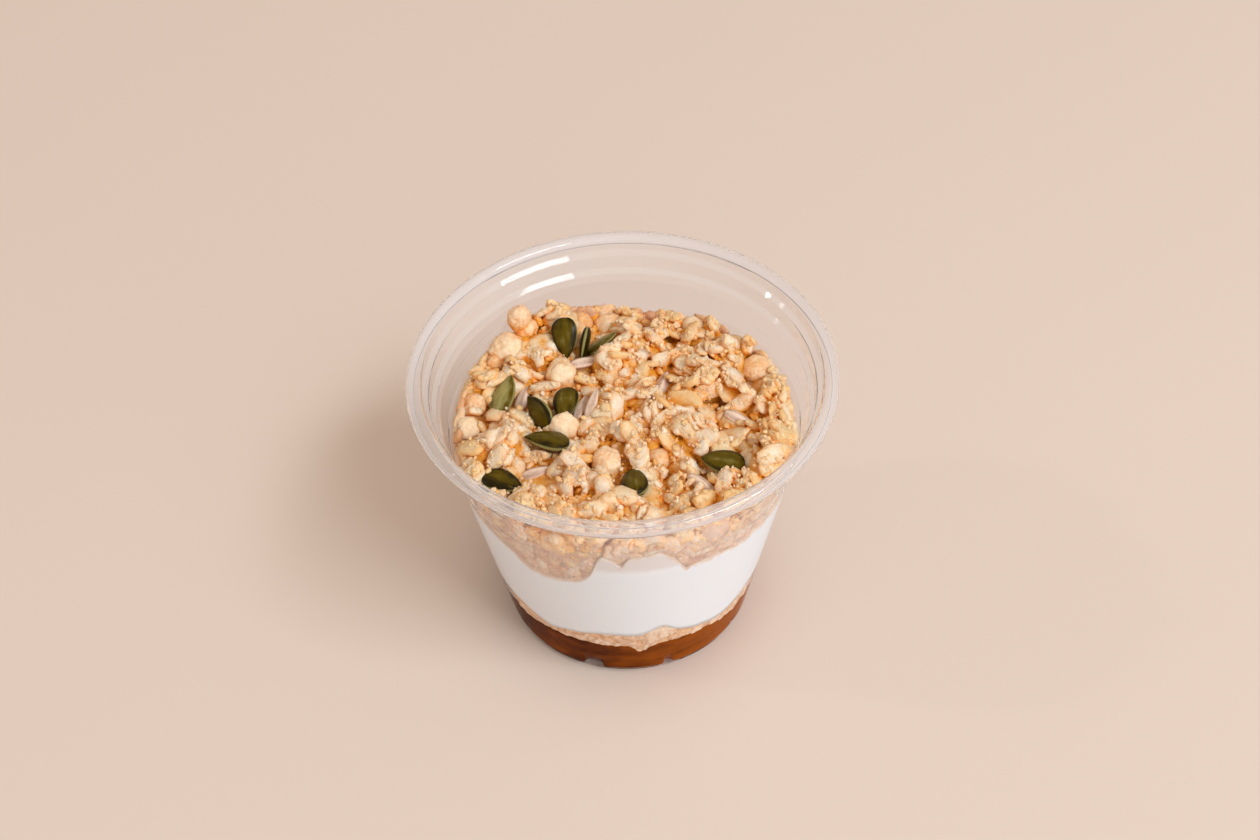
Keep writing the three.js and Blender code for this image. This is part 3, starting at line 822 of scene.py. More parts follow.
def fill_fine_grain(tree):
    """Fine relief of baked crumbs: cells of a size with a finer noise over them, as a height and a mask from
    0 to 1."""
    inside = tree.add("NodeGroupInput").outputs
    names = {"Vector": tree.place(), "Scale": inside["Scale"]}
    cells = tree.add("ShaderNodeTexVoronoi", names).outputs["Distance"]
    fine = tree.noise(scale=2600)
    height = tree.math("ADD", tree.math("MULTIPLY", cells, -0.7), tree.math("MULTIPLY", fine, 0.5))
    tree.add("NodeGroupOutput", {"Height": height, "Mask": tree.ramp(height, -0.4, 0.3)})


# What fills each node group, then its inputs and outputs
GROUPS = {
    "Baked tones": (
        fill_baked_tones,
        {"Pale": "Color", "Golden": "Color", "Toasted": "Color", "Tone": "Float", "Edge": "Float",
         "Toasting": "Float", "Gap": "Float", "Deep": "Color", "Film": "Float", "Moist": "Color"},
        {"Colour": "Color"},
    ),
    "Fine grain": (fill_fine_grain, {"Scale": "Float"}, {"Height": "Float", "Mask": "Float"}),
}


@functools.cache
def node_group(name):
    """The named node group, built once with its sockets."""
    fill, inputs, outputs = GROUPS[name]
    group = bpy.data.node_groups.new(name, "ShaderNodeTree")
    for in_out, sockets in (("INPUT", inputs), ("OUTPUT", outputs)):
        for key, kind in sockets.items():
            group.interface.new_socket(key, in_out=in_out, socket_type=f"NodeSocket{kind}")
    fill(Tree(group))
    return group


# Surfaces that light may cross in the plastic before it passes straight on, and the tint of what passes
CLEAR_AFTER = 4.5
PASSING_TINT = (0.97, 0.97, 0.965, 1)


def clear_plastic(name, ior, clearness, rough):
    """Thin clear plastic: smooth, with faint waves and a little haze. Lamps and soft light pass straight
    through, so that the filling is lit as behind a real thin wall."""
    material, tree, shader = new_material(name)
    waves = tree.noise(scale=60, detail=2)
    set_shader(
        tree, shader, Base_Color=rgba(pot().colours.plastic), Transmission_Weight=clearness, IOR=ior,
        Roughness=tree.scaled(waves, 0.05, rough), Normal=tree.bump(waves, 0.012, 0.4 * MM),
    )
    path = tree.add("ShaderNodeLightPath").outputs
    passing = tree.math("MAXIMUM", path["Is Shadow Ray"], path["Is Diffuse Ray"])
    deep = tree.math("GREATER_THAN", path["Transmission Depth"], CLEAR_AFTER)
    passing = tree.math("MAXIMUM", passing, deep)
    clear = tree.add("ShaderNodeBsdfTransparent", {"Color": PASSING_TINT})
    both = tree.add("ShaderNodeMixShader", {0: passing, 1: shader.outputs[0], 2: clear.outputs[0]})
    output = next(n for n in tree.tree.nodes if n.type == "OUTPUT_MATERIAL")
    tree.put(output.inputs["Surface"], both.outputs[0])
    return material


# Painted light on the caramel: how much lighter it is drawn for each metre to the right, the side the light
# comes from
CARAMEL_PAINTED_LIGHT = 9.5


@functools.cache
def caramel_material():
    """Thick caramel: slow streaks and specks from dark to lighter brown, painted light that draws it lighter
    to the right and darker to the left, and a dull shine."""
    c = pot().colours
    material, tree, shader = new_material("caramel")
    streaks = tree.noise(scale=70, detail=5, roughness=0.62, stretch=(1, 1, 3.6))
    specks = tree.noise(scale=420, detail=2)
    side = tree.add("ShaderNodeSeparateXYZ", {"Vector": tree.place()}).outputs["X"]
    tone = tree.scaled(specks, 0.35, tree.scaled(streaks, 0.9, -0.12))
    # Painted light and shade: the tone rises to the right, so the left side takes the dark caramel
    tone = tree.scaled(side, CARAMEL_PAINTED_LIGHT, tone)
    set_shader(
        tree, shader, Base_Color=tree.mix(tree.ramp(tone, 0.2, 0.8), rgba(c.caramel_streak_and_shade), rgba(c.caramel)),
        Roughness=tree.scaled(streaks, 0.2, 0.25), Specular_IOR_Level=0.03,
        Normal=tree.bump(streaks, 0.15, 0.5 * MM),
    )
    return material


@functools.cache
def yoghurt_material():
    """Yoghurt: white and soft, with light passing a little way in, a thinner, greyer smear high at the wall,
    and the granola's tone in spots along its edge."""
    c = pot().colours
    material, tree, shader = new_material("yoghurt")
    cloud = tree.noise(scale=55)
    thin = tree.scaled(tree.attribute("smear"), 0.8, tree.scaled(cloud, 0.3, -0.12))
    white = tree.mix(tree.ramp(thin, 0.0, 1.0), rgba(c.yoghurt), rgba(c.yoghurt_smear))
    brink = tree.scaled(tree.noise(scale=700), 0.9, tree.math("SUBTRACT", tree.attribute("brink"), 0.6))
    set_shader(
        tree, shader, Base_Color=tree.mix(tree.ramp(brink, 0.1, 0.85), white, rgba(c.yoghurt_brink)),
        Roughness=tree.scaled(cloud, 0.15, 0.38), Specular_IOR_Level=0.3,
        Subsurface_Weight=0.35, Subsurface_Radius=(1.0, 0.75, 0.55), Subsurface_Scale=1.6 * MM,
        Normal=tree.bump(tree.noise(scale=300), 0.12, 0.3 * MM),
    )
    return material


def baked(name, edge, colours, toasting, grain_scale, relief, soft=0.1, rough=0.5):
    """Material of a baked piece: shared tones and fine grain, with its own colours, depth of relief and
    shine. Edge is the name of an attribute, or one value for the whole piece."""
    material, tree, shader = new_material(name)
    pale, golden, toasted = (rgba(c) for c in colours)
    # The gap and wall values paint shade in the heap's gaps and shade and haze at the wall into the tones
    tones = tree.group(
        "Baked tones", pale=pale, golden=golden, toasted=toasted, toasting=toasting,
        film=tree.attribute("film"), moist=rgba(pot().colours.wall_shade_tint),
        gap=tree.attribute("gap"), deep=rgba(pot().colours.syrup), tone=tree.attribute("tone"),
        edge=tree.attribute(edge) if isinstance(edge, str) else edge,
    )
    grain = tree.group("Fine grain", scale=grain_scale).outputs
    shader.subsurface_method = "BURLEY"
    set_shader(
        tree, shader, Base_Color=tones.outputs["Colour"], Specular_IOR_Level=0.35,
        Roughness=tree.scaled(grain["Mask"], 0.25, rough - 0.12),
        Subsurface_Weight=soft, Subsurface_Radius=(1.0, 0.55, 0.2), Subsurface_Scale=1.3 * MM,
        Normal=tree.bump(grain["Height"], 0.8, relief),
    )
    return material


@functools.cache
def oat_material():
    """Baked oat flakes, pale to golden by the flake and browned along their edges."""
    c = pot().colours
    colours = (c.oat_pale, c.oat_golden, c.oat_toasted)
    return baked("oats", "edge", colours, toasting=0.4, grain_scale=1500, relief=0.2 * MM, soft=0.7)


@functools.cache
def cluster_material():
    """Clusters of fine oats and syrup, golden on top and browner in their folds."""
    c = pot().colours
    colours = (c.oat_pale, c.oat_golden, c.syrup)
    return baked("clusters", "depth", colours, toasting=0.9, grain_scale=1100, relief=0.35 * MM, soft=0.7)


@functools.cache
def crumb_material():
    """Loose crumbs, from pale to toasted."""
    c = pot().colours
    colours = (c.oat_pale, c.oat_golden, c.oat_toasted)
    return baked("crumbs", 0.35, colours, toasting=0.8, grain_scale=2200, relief=0.1 * MM, soft=0.3)


@functools.cache
def core_material():
    """Baked syrup and fine crumbs between the pieces: golden on the grains and brown in the hollows between
    them, partly the syrup's own colour and partly painted shade.
    """
    c = pot().colours
    colours = (c.oat_golden, c.syrup, c.syrup_dark_and_shade)
    return baked(
        "heap_core", "depth", colours, toasting=1.0, grain_scale=1300, relief=0.3 * MM, soft=0.0, rough=0.42,
    )


@functools.cache
def pressed_material():
    """Crumbs and flakes pressed to the wall: each grain has its own tone, and the seams are browner."""
    c = pot().colours
    colours = (c.crumb_pale, c.crumb, c.crumb_seam)
    return baked("pressed_crumbs", "depth", colours, toasting=0.55, grain_scale=900, relief=0.2 * MM)


@functools.cache
def puff_material():
    """Puffed grains: soft and matt, peach where they are browned, and more toasted on their undersides as
    painted shade.
    """
    c = pot().colours
    colours = (c.puff_pale, c.puff_amber, c.oat_toasted)
    return baked(
        "puffs", "depth", colours, toasting=0.5, grain_scale=900, relief=0.25 * MM, soft=0.7, rough=0.55,
    )


@functools.cache
def sunflower_material():
    """Sunflower seeds: pale grey-pink with darker streaks along them."""
    c = pot().colours
    colours = (c.sunflower, c.sunflower, c.sunflower_dark)
    return baked("sunflower_seeds", "edge", colours, toasting=0.9, grain_scale=900, relief=0.08 * MM)


@functools.cache
def pumpkin_material():
    """Pumpkin seed skin: dark olive with fine streaks along the seed, a paler rim and a dull shine."""
    c = pot().colours
    material, tree, shader = new_material("pumpkin_seed")
    streaks = tree.math("ADD", tree.attribute("streak"), tree.scaled(tree.noise(scale=420), 1.0, -0.5))
    skin = tree.mix(tree.ramp(streaks, 0.1, 0.9), rgba(c.pumpkin_dark), rgba(c.pumpkin))
    skin = tree.mix(tree.ramp(streaks, 0.8, 1.7), skin, rgba(c.pumpkin_rim))
    relief = tree.math("ADD", streaks, tree.noise(scale=1500, detail=2))
    set_shader(
        tree, shader, Base_Color=tree.mix(tree.attribute("rim"), skin, rgba(c.pumpkin_rim)),
        Roughness=tree.scaled(tree.noise(scale=700, detail=2), 0.2, 0.18), Specular_IOR_Level=0.14,
        Normal=tree.bump(relief, 0.3, 0.14 * MM),
    )
    return material


@functools.cache
def floor_material():
    """Plain matt floor with hardly seen unevenness."""
    material, tree, shader = new_material("floor")
    base = pot().stage.floor
    deeper = tuple(0.97 * c for c in base)
    set_shader(
        tree, shader, Base_Color=tree.mix(tree.noise(scale=3), rgba(base), rgba(deeper)), Roughness=0.6,
        Specular_IOR_Level=0.25, Normal=tree.bump(tree.noise(scale=900, detail=2), 0.02, 0.2 * MM),
    )
    return material


# Heap: where every piece lies

class HeightMap:
    """Heights of the heap on a square grid, raised as pieces are laid on it, with the places that are
    taken."""

    STEP = 0.35 * MM
    FEWEST = 6
    STEEPEST = 0.9
    CARRIED = 0.7
    LEAST_SHARE = 0.01

    def __init__(self):
        self.reach = wall_inside(pot().sizes.heap_top)
        line = np.arange(-self.reach, self.reach + self.STEP, self.STEP)
        self.x, self.y = np.meshgrid(line, line, indexing="ij")
        self.z = core_top(self.x, self.y)
        self.taken = np.hypot(self.x, self.y) > self.reach

    def at(self, x, y):
        """Rows and columns of the grid nearest to places."""
        cells = np.round((np.array([x, y]) + self.reach) / self.STEP).astype(int)
        return tuple(np.clip(cells, 0, len(self.x) - 1))

    def blurred(self, spread):
        """Heights inside the wall blurred by a bell curve of a spread, worked out on their frequencies."""
        waves = np.fft.fftfreq(len(self.z), self.STEP)
        bell = np.exp(-2 * (np.pi * spread * waves) ** 2)
        inside = (np.hypot(self.x, self.y) < self.reach).astype(float)
        maps = (self.z * inside, inside)
        total, share = (np.fft.ifft2(np.fft.fft2(m) * bell[:, None] * bell).real for m in maps)
        return total / np.maximum(share, self.LEAST_SHARE)

    def oval(self, x, y, along, across, heading):
        """The part of the grid round a place, its offsets from there, and how far it lies out in an oval
        turned to a heading: (a / along)^2 + (b / across)^2, which is 1 at the oval's edge."""
        reach = max(along, across)
        low = np.floor((np.array([x, y]) + self.reach - reach) / self.STEP).astype(int)
        high = np.ceil((np.array([x, y]) + self.reach + reach) / self.STEP).astype(int) + 1
        low, high = np.clip([low, high], 0, len(self.x))
        part = slice(low[0], high[0]), slice(low[1], high[1])
        dx, dy = self.x[part] - x, self.y[part] - y
        c, s = math.cos(heading), math.sin(heading)
        return part, dx, dy, ((c * dx + s * dy) / along) ** 2 + ((c * dy - s * dx) / across) ** 2

    def keep_free(self, x, y, along, across, heading=0.0):
        """Marks an oval as taken."""
        part, _, _, away = self.oval(x, y, along, across, heading)
        self.taken[part] |= away < 1

    def dome(self, x, y, z, radii, heading=0.0):
        """Raises the map to the top of an ellipsoid turned to a heading."""
        part, _, _, away = self.oval(x, y, radii[0], radii[1], heading)
        top = z + radii[2] * np.sqrt(np.maximum(0, 1 - away))
        self.z[part] = np.where(away < 1, np.maximum(self.z[part], top), self.z[part])

    def bed(self, x, y, along, across, heading):
        """How a flat oval piece lies at a place: share of it that is taken, slopes of the plane fitted to the
        heights under it, and the height of the plane's middle raised to carry it on the higher spots."""
        part, dx, dy, away = self.oval(x, y, along, across, heading)
        under = away < 1
        if under.sum() < self.FEWEST:
            return 1.0, 0.0, 0.0, 0.0
        rows = np.stack([dx[under], dy[under], np.ones(under.sum())], axis=1)
        (gx, gy, level), *_ = np.linalg.lstsq(rows, self.z[part][under], rcond=None)
        gx, gy = np.clip([gx, gy], -self.STEEPEST, self.STEEPEST)
        spare = self.z[part][under] - rows @ (gx, gy, level)
        return self.taken[part][under].mean(), gx, gy, level + np.quantile(spare, self.CARRIED)

    def plate(self, x, y, along, across, heading, gx, gy, level):
        """Raises the map to a leaning oval plate."""
        part, dx, dy, away = self.oval(x, y, along, across, heading)
        top = level + gx * dx + gy * dy
        self.z[part] = np.where(away < 1, np.maximum(self.z[part], top), self.z[part])


def drawn_in(x, y, reach, lift=0.0):
    """Draws a place in towards the middle where a piece of a reach, lifted over the core, would cross the
    wall."""
    s = pot().sizes
    far = np.hypot(x, y)
    room = wall_inside(s.heap_top - s.core_depth + lift) - PIECE_GAP - reach
    scale = np.where(far > room, room / np.maximum(far, 1e-9), 1)
    return x * scale, y * scale


def golden_spread(count, reach):
    """Even spread over a round place: radius R sqrt((k + 0.5) / n), and k golden angles round, in radians."""
    k = np.arange(count)
    return reach * np.sqrt((k + 0.5) / count), np.radians(GOLDEN_ANGLE * k)


def lump_places():
    """Small clusters spread by the golden angle, as x, y and size. Every third is left out, and so are those
    in or under larger pieces."""
    s, mix = pot().sizes, pot().mix
    far, angle = golden_spread(SCATTERED_PIECES, wall_inside(s.heap_top))
    x, y = drawn_in(far * np.cos(angle), far * np.sin(angle), mix.lump / 2)
    keep = np.arange(SCATTERED_PIECES) % FLAKE_EVERY != 0
    for places, reach in (
        (PUMPKIN_SEEDS, np.full(len(PUMPKIN_SEEDS), SEED_CLEARANCE)),
        (PUFFS, mix.puff * PUFFS[:, 2] * TAKEN_SHARE),
        (CHUNKS, mix.chunk * CHUNKS[:, 2] * TAKEN_SHARE),
    ):
        away = np.hypot(x[:, None] - places[:, 0] * MM, y[:, None] - places[:, 1] * MM)
        keep &= np.all(away > reach, axis=1)
    size = LUMP_LEAST + LUMP_RANGE * own_draws(SCATTERED_PIECES, ROWS["lump_size"])
    return np.stack([x, y, mix.lump * size], axis=1)[keep]


def lay_oat(ground, x, y, heading, tilt, half, overlap):
    """Lays one oat on the height map, unless more than a share of it is over a taken place. Gives a list of
    one row with its place, slopes, heading, pitch, roll and three half sizes, or an empty list."""
    taken, gx, gy, level = ground.bed(x, y, half[0], half[1], heading)
    if taken > overlap:
        return []
    rise = half[0] * TILT_RISE * abs(math.sin(math.radians(tilt[0]))) + half[2] * BED_RISE
    along, across = half[0] * PLATE_SHARE, half[1] * PLATE_SHARE
    ground.plate(x, y, along, across, heading, gx, gy, level + rise + half[2] * PLATE_RISE)
    return [(x, y, level + rise, gx, gy, math.degrees(heading), *tilt, *half)]


def laid_oats(ground, rng, count, sizes, plump, overlap):
    """Lays oats one by one, spread by the golden angle, each plump times as thick as its size says."""
    mix = pot().mix
    oats = []
    for far, angle in zip(*golden_spread(count, ground.reach)):
        angle += rng.normal(0, OAT_STRAY)
        half = np.array([mix.oat_length, mix.oat_width, mix.oat_thickness]) / 2 * rng.uniform(*sizes)
        half *= (rng.uniform(*OAT_LENGTHS), rng.uniform(*OAT_WIDTHS), plump * rng.uniform(*OAT_THICKNESSES))
        heading = rng.uniform(0, 2 * math.pi)
        tilt = rng.normal(0, OAT_TILT, 2)
        x, y = drawn_in(far * math.cos(angle), far * math.sin(angle), half[0] * OAT_ROOM)
        oats += lay_oat(ground, x, y, heading, tilt, half, overlap)
    return oats


def lay_puffs(ground):
    """Puffs where they stand out, as x, y, z, width and tone."""
    x, y, lift = (PUFFS[:, [0, 1, 4]] * MM).T
    size = pot().mix.puff * PUFFS[:, 2]
    x, y = drawn_in(x, y, size / 2, lift)
    puffs = np.stack([x, y, core_top(x, y) + lift, size, PUFFS[:, 3]], axis=1)
    for x, y, z, size, _ in puffs:
        ground.dome(x, y, z, (size / 2,) * 3)
        ground.keep_free(x, y, size * PUFF_FREE, size * PUFF_FREE)
    return puffs


def lay_clusters(ground, rng):
    """Large clusters where they stand out and small ones between, as x, y, z and width."""
    size = pot().mix.chunk * CHUNKS[:, 2]
    x, y = drawn_in(CHUNKS[:, 0] * MM, CHUNKS[:, 1] * MM, size * CHUNK_ROOM)
    clusters = np.concatenate([np.stack([x, y, size], axis=1), lump_places()])
    count = len(clusters)
    lift = np.where(np.arange(count) < len(CHUNKS), CHUNK_LIFT, rng.uniform(*LUMP_LIFTS, count)) * MM
    clusters = np.insert(clusters, 2, core_top(clusters[:, 0], clusters[:, 1]) + lift, axis=1)
    for k, (x, y, z, size) in enumerate(clusters):
        ground.dome(x, y, z, size * CLUSTER_DOME)
        if k < BARE_CHUNKS:
            ground.keep_free(x, y, size * CHUNK_FREE, size * CHUNK_FREE)
    return clusters


def lay_sunflower_seeds(ground):
    """Sunflower seeds on their beds, as x, y, z, two slopes and heading in degrees."""
    whole = pot().mix.sunflower_length
    along, across = whole / 2, whole * SUNFLOWER_BED
    beds = []
    for x, y, heading in SUNFLOWER_SEEDS * (MM, MM, 1):
        turn = math.radians(heading)
        _, gx, gy, level = ground.bed(x, y, along, across, turn)
        z = level + SUNFLOWER_LIFT
        beds.append((x, y, z, gx, gy, heading))
        ground.dome(x, y, z, (along, across, SUNFLOWER_DOME), turn)
        ground.keep_free(x, y, along, across, turn)
    return np.array(beds)


def lay_crumbs(ground, rng):
    """Crumbs spread by the golden angle, where nothing is taken, as x, y, z and width."""
    mix = pot().mix
    far, angle = golden_spread(mix.crumbs, ground.reach)
    angle = angle + rng.normal(0, CRUMB_STRAY, mix.crumbs)
    size = mix.crumb * rng.choice(CRUMB_SIZES, mix.crumbs, p=CRUMB_SHARES)
    size = size * rng.uniform(*CRUMB_RANGE, mix.crumbs)
    x, y = drawn_in(far * np.cos(angle), far * np.sin(angle), size)
    under = ground.at(x, y)
    return np.stack([x, y, ground.z[under] + size * CRUMB_RISE, size], axis=1)[~ground.taken[under]]


@functools.cache
def heap():
    """Where every piece of the heap lies. Large pieces go where they stand out, the others are laid one by
    one on the height map, so that each lies on what is under it."""
    mix = pot().mix
    rng = np.random.default_rng(mix.seed)
    ground = HeightMap()
    oats = laid_oats(ground, rng, mix.fragments, *BROKEN_UNDER)
    for place, turn, size in zip(*pumpkin_places()):
        shadow = np.linalg.norm((turn @ np.diag(size / 2))[:2], axis=0).max()
        heading = math.atan2(turn[1, 0], turn[0, 0])
        ground.keep_free(place[0], place[1], shadow * SEED_FREE[0], size[1] * SEED_FREE[1], heading)
    puffs = lay_puffs(ground)
    clusters = lay_clusters(ground, rng)
    sunflower = lay_sunflower_seeds(ground)
    for x, y, heading, *half in LARGE_FLAKES * (MM, MM, math.pi / 180, MM / 2, MM / 2, MM / 2):
        oats += lay_oat(ground, x, y, heading, FLAKE_TILT, half, 1.0)
        ground.keep_free(x, y, half[0] * FLAKE_FREE, half[1] * FLAKE_FREE, heading)
    oats += laid_oats(ground, rng, mix.fragments, *BROKEN_OVER)
    oats += laid_oats(ground, rng, mix.oats, *WHOLE_OATS)
    return {
        "puffs": puffs, "clusters": clusters, "sunflower": sunflower, "oats": np.array(oats),
        "crumbs": lay_crumbs(ground, rng), "ground": ground, "level": ground.blurred(GAP_SPREAD),
    }


def from_wall(points):
    """How far points lie from the wall, from 0 at it to 1 in the heap."""
    room = wall_inside(points[..., 2]) - np.hypot(points[..., 0], points[..., 1])
    return np.clip(room / WALL_MARGIN, 0, 1)


def gap_shade_at(points):
    """How much painted shade points take in the gaps of the heap, from 0 to 1, by how deep they lie below its
    blurred heights. There is less of this shade at the wall."""
    level = heap()["level"][heap()["ground"].at(points[..., 0], points[..., 1])]
    depth = np.clip((level + GAP_START - points[..., 2]) / GAP_DEPTH, 0, 1)
    return depth * (WALL_GAPS + (1 - WALL_GAPS) * from_wall(points))


def amber(points):
    """How much tone pieces gain towards the wall: none in the heap, all at its edge."""
    away = np.hypot(points[..., 0], points[..., 1]) / wall_inside(pot().sizes.heap_top)
    return AMBER_TONE * np.clip((away - AMBER_FROM) / (1 - AMBER_FROM), 0, 1)


def pumpkin_places():
    """Place, turning matrix and size of each pumpkin seed."""
    mix = pot().mix
    x, y, lift = (PUMPKIN_SEEDS[:, :3] * MM).T
    place = np.stack([x, y, heap_top(x, y) + lift], axis=1)
    usual = np.array([mix.pumpkin_length, mix.pumpkin_width, mix.pumpkin_thickness])
    return place, spin(*PUMPKIN_SEEDS[:, 3:6].T), usual * PUMPKIN_SEEDS[:, 6:7]


# Pieces

class PotOperator:
    """What the operators share."""

    bl_options = {"REGISTER", "UNDO"}


def lining_foot(deeper=0.0):
    """Corners of the lining's profile over the base and up to the plain wall, moved deeper into the
    plastic."""
    s = pot().sizes
    low = s.wall - deeper
    foot = s.foot_rounding + low
    return [
        [0, s.base_recess + low], [s.foot_in - s.base_recess, s.base_recess + low], [s.foot_in, low],
        [s.foot_out - low / 2, low], [wall_inside(foot) + deeper, foot],
    ]


def cut_at(outline, height):
    """Adds a point to an outline where it first passes a height."""
    after = np.argmax(outline[:, 1] > height)
    low, high = outline[after - 1], outline[after]
    share = (height - low[1]) / (high[1] - low[1])
    return np.insert(outline, after, low + share * (high - low), axis=0)


class MakeCup(PotOperator, bpy.types.Operator):
    """Makes the clear cup"""

    bl_idname = "granola_pot.make_cup"
    bl_label = "Cup"

    # Corners of the two ledges, as radius and height, and way to their lining beside the plastic's thickness
    LEDGES = np.array([[42.6, 64.55], [43, 67.75], [44.1, 68.8]]) * MM
    LEDGE_LINING = np.array([-1, 0.33])

    # Rounding of the corners: under the foot, on the ribs, where the lining leaves the wall, at the ledges
    FOOT_ROUNDING = np.array([0.5, 0.5, 1.2, 1.0]) * MM
    RIB_ROUNDING = 0.1 * MM
    LEVEL_ROUNDING = 0.5 * MM
    LEDGE_ROUNDING = np.array([0.4, 0.35, 0.35, 0.5]) * MM

    # Angles in degrees between which the rim is rolled
    ROLL_START = 180
    ROLL_END = -85

    # How the smear rises to the rim at the front: factor of the azimuth's cosine, and what is taken off
    FRONT_RISE = 2
    FRONT_START = 0.3

    # Heights that count as the same
    SAME_HEIGHT = 1e-7

    def execute(self, context):
        """A profile turned round the upright axis, with the notches pressed into its foot. Two of its rows
        follow the edges of the smeared stretch, and each stretch of the wall has its own plastic."""
        s = pot().sizes
        azimuth = round_azimuths(ROUND_STEPS)
        radius, z = np.broadcast_arrays(*np.split(self.section(), 2, axis=1), azimuth)[:2]
        radius = radius - np.where(radius > s.foot_out - NOTCH_DEPTH, notch_dent(azimuth, z), 0)
        smear_low, smear_end = self.smear_edges(azimuth)
        smear_high = np.minimum(smear_end, RIB_HEIGHTS[1] - 2 * RIB_HALF)
        for height, wave in ((SMEAR_LOW, smear_low), (SMEAR_HIGH, smear_high)):
            row = np.isclose(z, height, rtol=0, atol=self.SAME_HEIGHT)
            radius = np.where(row, radius + wall_inside(wave) - wall_inside(height), radius)
            z = np.where(row, wave, z)
        rim_low = s.shoulder_height - LEVEL_BELOW
        zone = np.select([z < smear_low, z < smear_end, z <= rim_low], [0, 1, 2], 3)
        points, faces = closed_rows(upright(radius, azimuth, z))
        filled, *others = (clear_plastic(*values) for values in WALL_ZONES)
        put_piece(
            "clear_cup", points, faces, filled, ["cup"], others=others, zone=of_rows(zone),
        )
        return {"FINISHED"}

    def section(self):
        """Rounded profile, as radius and height: out over the recessed base and foot, up the tapered wall
        with its ribs and ledges, round inside the rolled rim, back over it and down the lining."""
        s = pot().sizes
        bead = np.array([s.rim_radius - s.bead_radius, s.cup_height - s.bead_radius])
        level = s.shoulder_height - LEVEL_BELOW
        shoulder = np.array([s.shoulder_radius, s.shoulder_height])
        ribs = [
            [wall_inside(z + step) + s.wall + (0 if step else RIB_DEPTH), z + step]
            for z in RIB_HEIGHTS for step in (-RIB_HALF, 0, RIB_HALF)
        ]
        skin = rounded(
            [[0, s.base_recess], [s.foot_in - s.base_recess, s.base_recess], [s.foot_in, 0], [s.foot_out, 0],
             [s.base_radius, s.foot_rounding], *ribs, shoulder, *self.LEDGES,
             [bead[0] - s.bead_radius + s.curl, bead[1]]],
            [*self.FOOT_ROUNDING, *[self.RIB_ROUNDING] * len(ribs), *self.LEDGE_ROUNDING],
        )
        thin = s.curl * self.LEDGE_LINING
        lining = rounded(
            [*lining_foot(), [wall_inside(level), level], shoulder + thin, *(self.LEDGES + thin),
             [bead[0] - s.bead_radius, bead[1]]],
            [*LINING_ROUNDING, self.LEVEL_ROUNDING, *self.LEDGE_ROUNDING],
        )
        for height in (SMEAR_LOW, SMEAR_HIGH, *SMEAR_STEPS):
            skin, lining = cut_at(skin, height), cut_at(lining, height)
        roll_in = arc(bead, s.bead_radius - s.curl, self.ROLL_START, self.ROLL_END, 36)
        lip_centre = arc(bead, s.bead_radius - s.curl / 2, self.ROLL_END, self.ROLL_END, 1)[0]
        lip = arc(lip_centre, s.curl / 2, self.ROLL_END + 180, self.ROLL_END, 6)[1:-1]
        roll_out = arc(bead, s.bead_radius, self.ROLL_END, self.ROLL_START, 40)
        return np.concatenate([skin[:-1], roll_in, lip, roll_out, lining[::-1][1:]])

    def smear_edges(self, azimuth):
        """Heights of the smeared stretch of wall: from just below the yoghurt's edge to just below the heap's
        outline, and up to the rim at the front."""
        s = pot().sizes
        low = np.minimum(yoghurt_top(1, azimuth) - SMEAR_TUCK, SMEAR_LOW)
        edge = upright(wall_inside(s.heap_top), azimuth, 0 * azimuth)
        high = heap_top(edge[:, 0], edge[:, 1]) - SMEAR_TUCK
        rise = np.clip(self.FRONT_RISE * np.cos(azimuth) - self.FRONT_START, 0, 1)
        return low, high + rise * (s.shoulder_height - LEVEL_BELOW - high)


def layer_rows(lower, upper, azimuth, rings_low, side_steps, rings_high):
    """Rows of a layer that fills the cup between two surfaces: its underside from the middle out, its side up
    the wall, and its top back to the middle. The side reaches just into the wall."""
    def sheet(height, shares):
        """Rows of one surface at shares of the radius."""
        pairs = [(u, height(u, azimuth)) for u in shares]
        return np.stack([upright(u * (wall_inside(z) + INTO_WALL), azimuth, z) for u, z in pairs])

    side = np.linspace(0, 1, side_steps)[1:-1, None]
    z = (1 - side) * lower(1, azimuth) + side * upper(1, azimuth)
    return np.concatenate([
        sheet(lower, np.linspace(0, 1, rings_low)), upright(wall_inside(z) + INTO_WALL, azimuth, z),
        sheet(upper, np.linspace(1, 0, rings_high)),
    ])


def marked_rows(rows, first, last):
    """Marks the points of the rows from one number up to another."""
    marked = np.zeros(rows.shape[:2], dtype=bool)
    marked[first:last] = True
    return marked


def ragged_edge(u, azimuth, height, row):
    """Raggedness of a layer's edge at the wall: a height times rough noise, growing with the sixth power of
    the radius share u."""
    edge = upright(pot().sizes.base_radius, azimuth, np.zeros_like(azimuth))
    return u ** 6 * height * rough_noise(edge, RAGGED_SIZE, row)


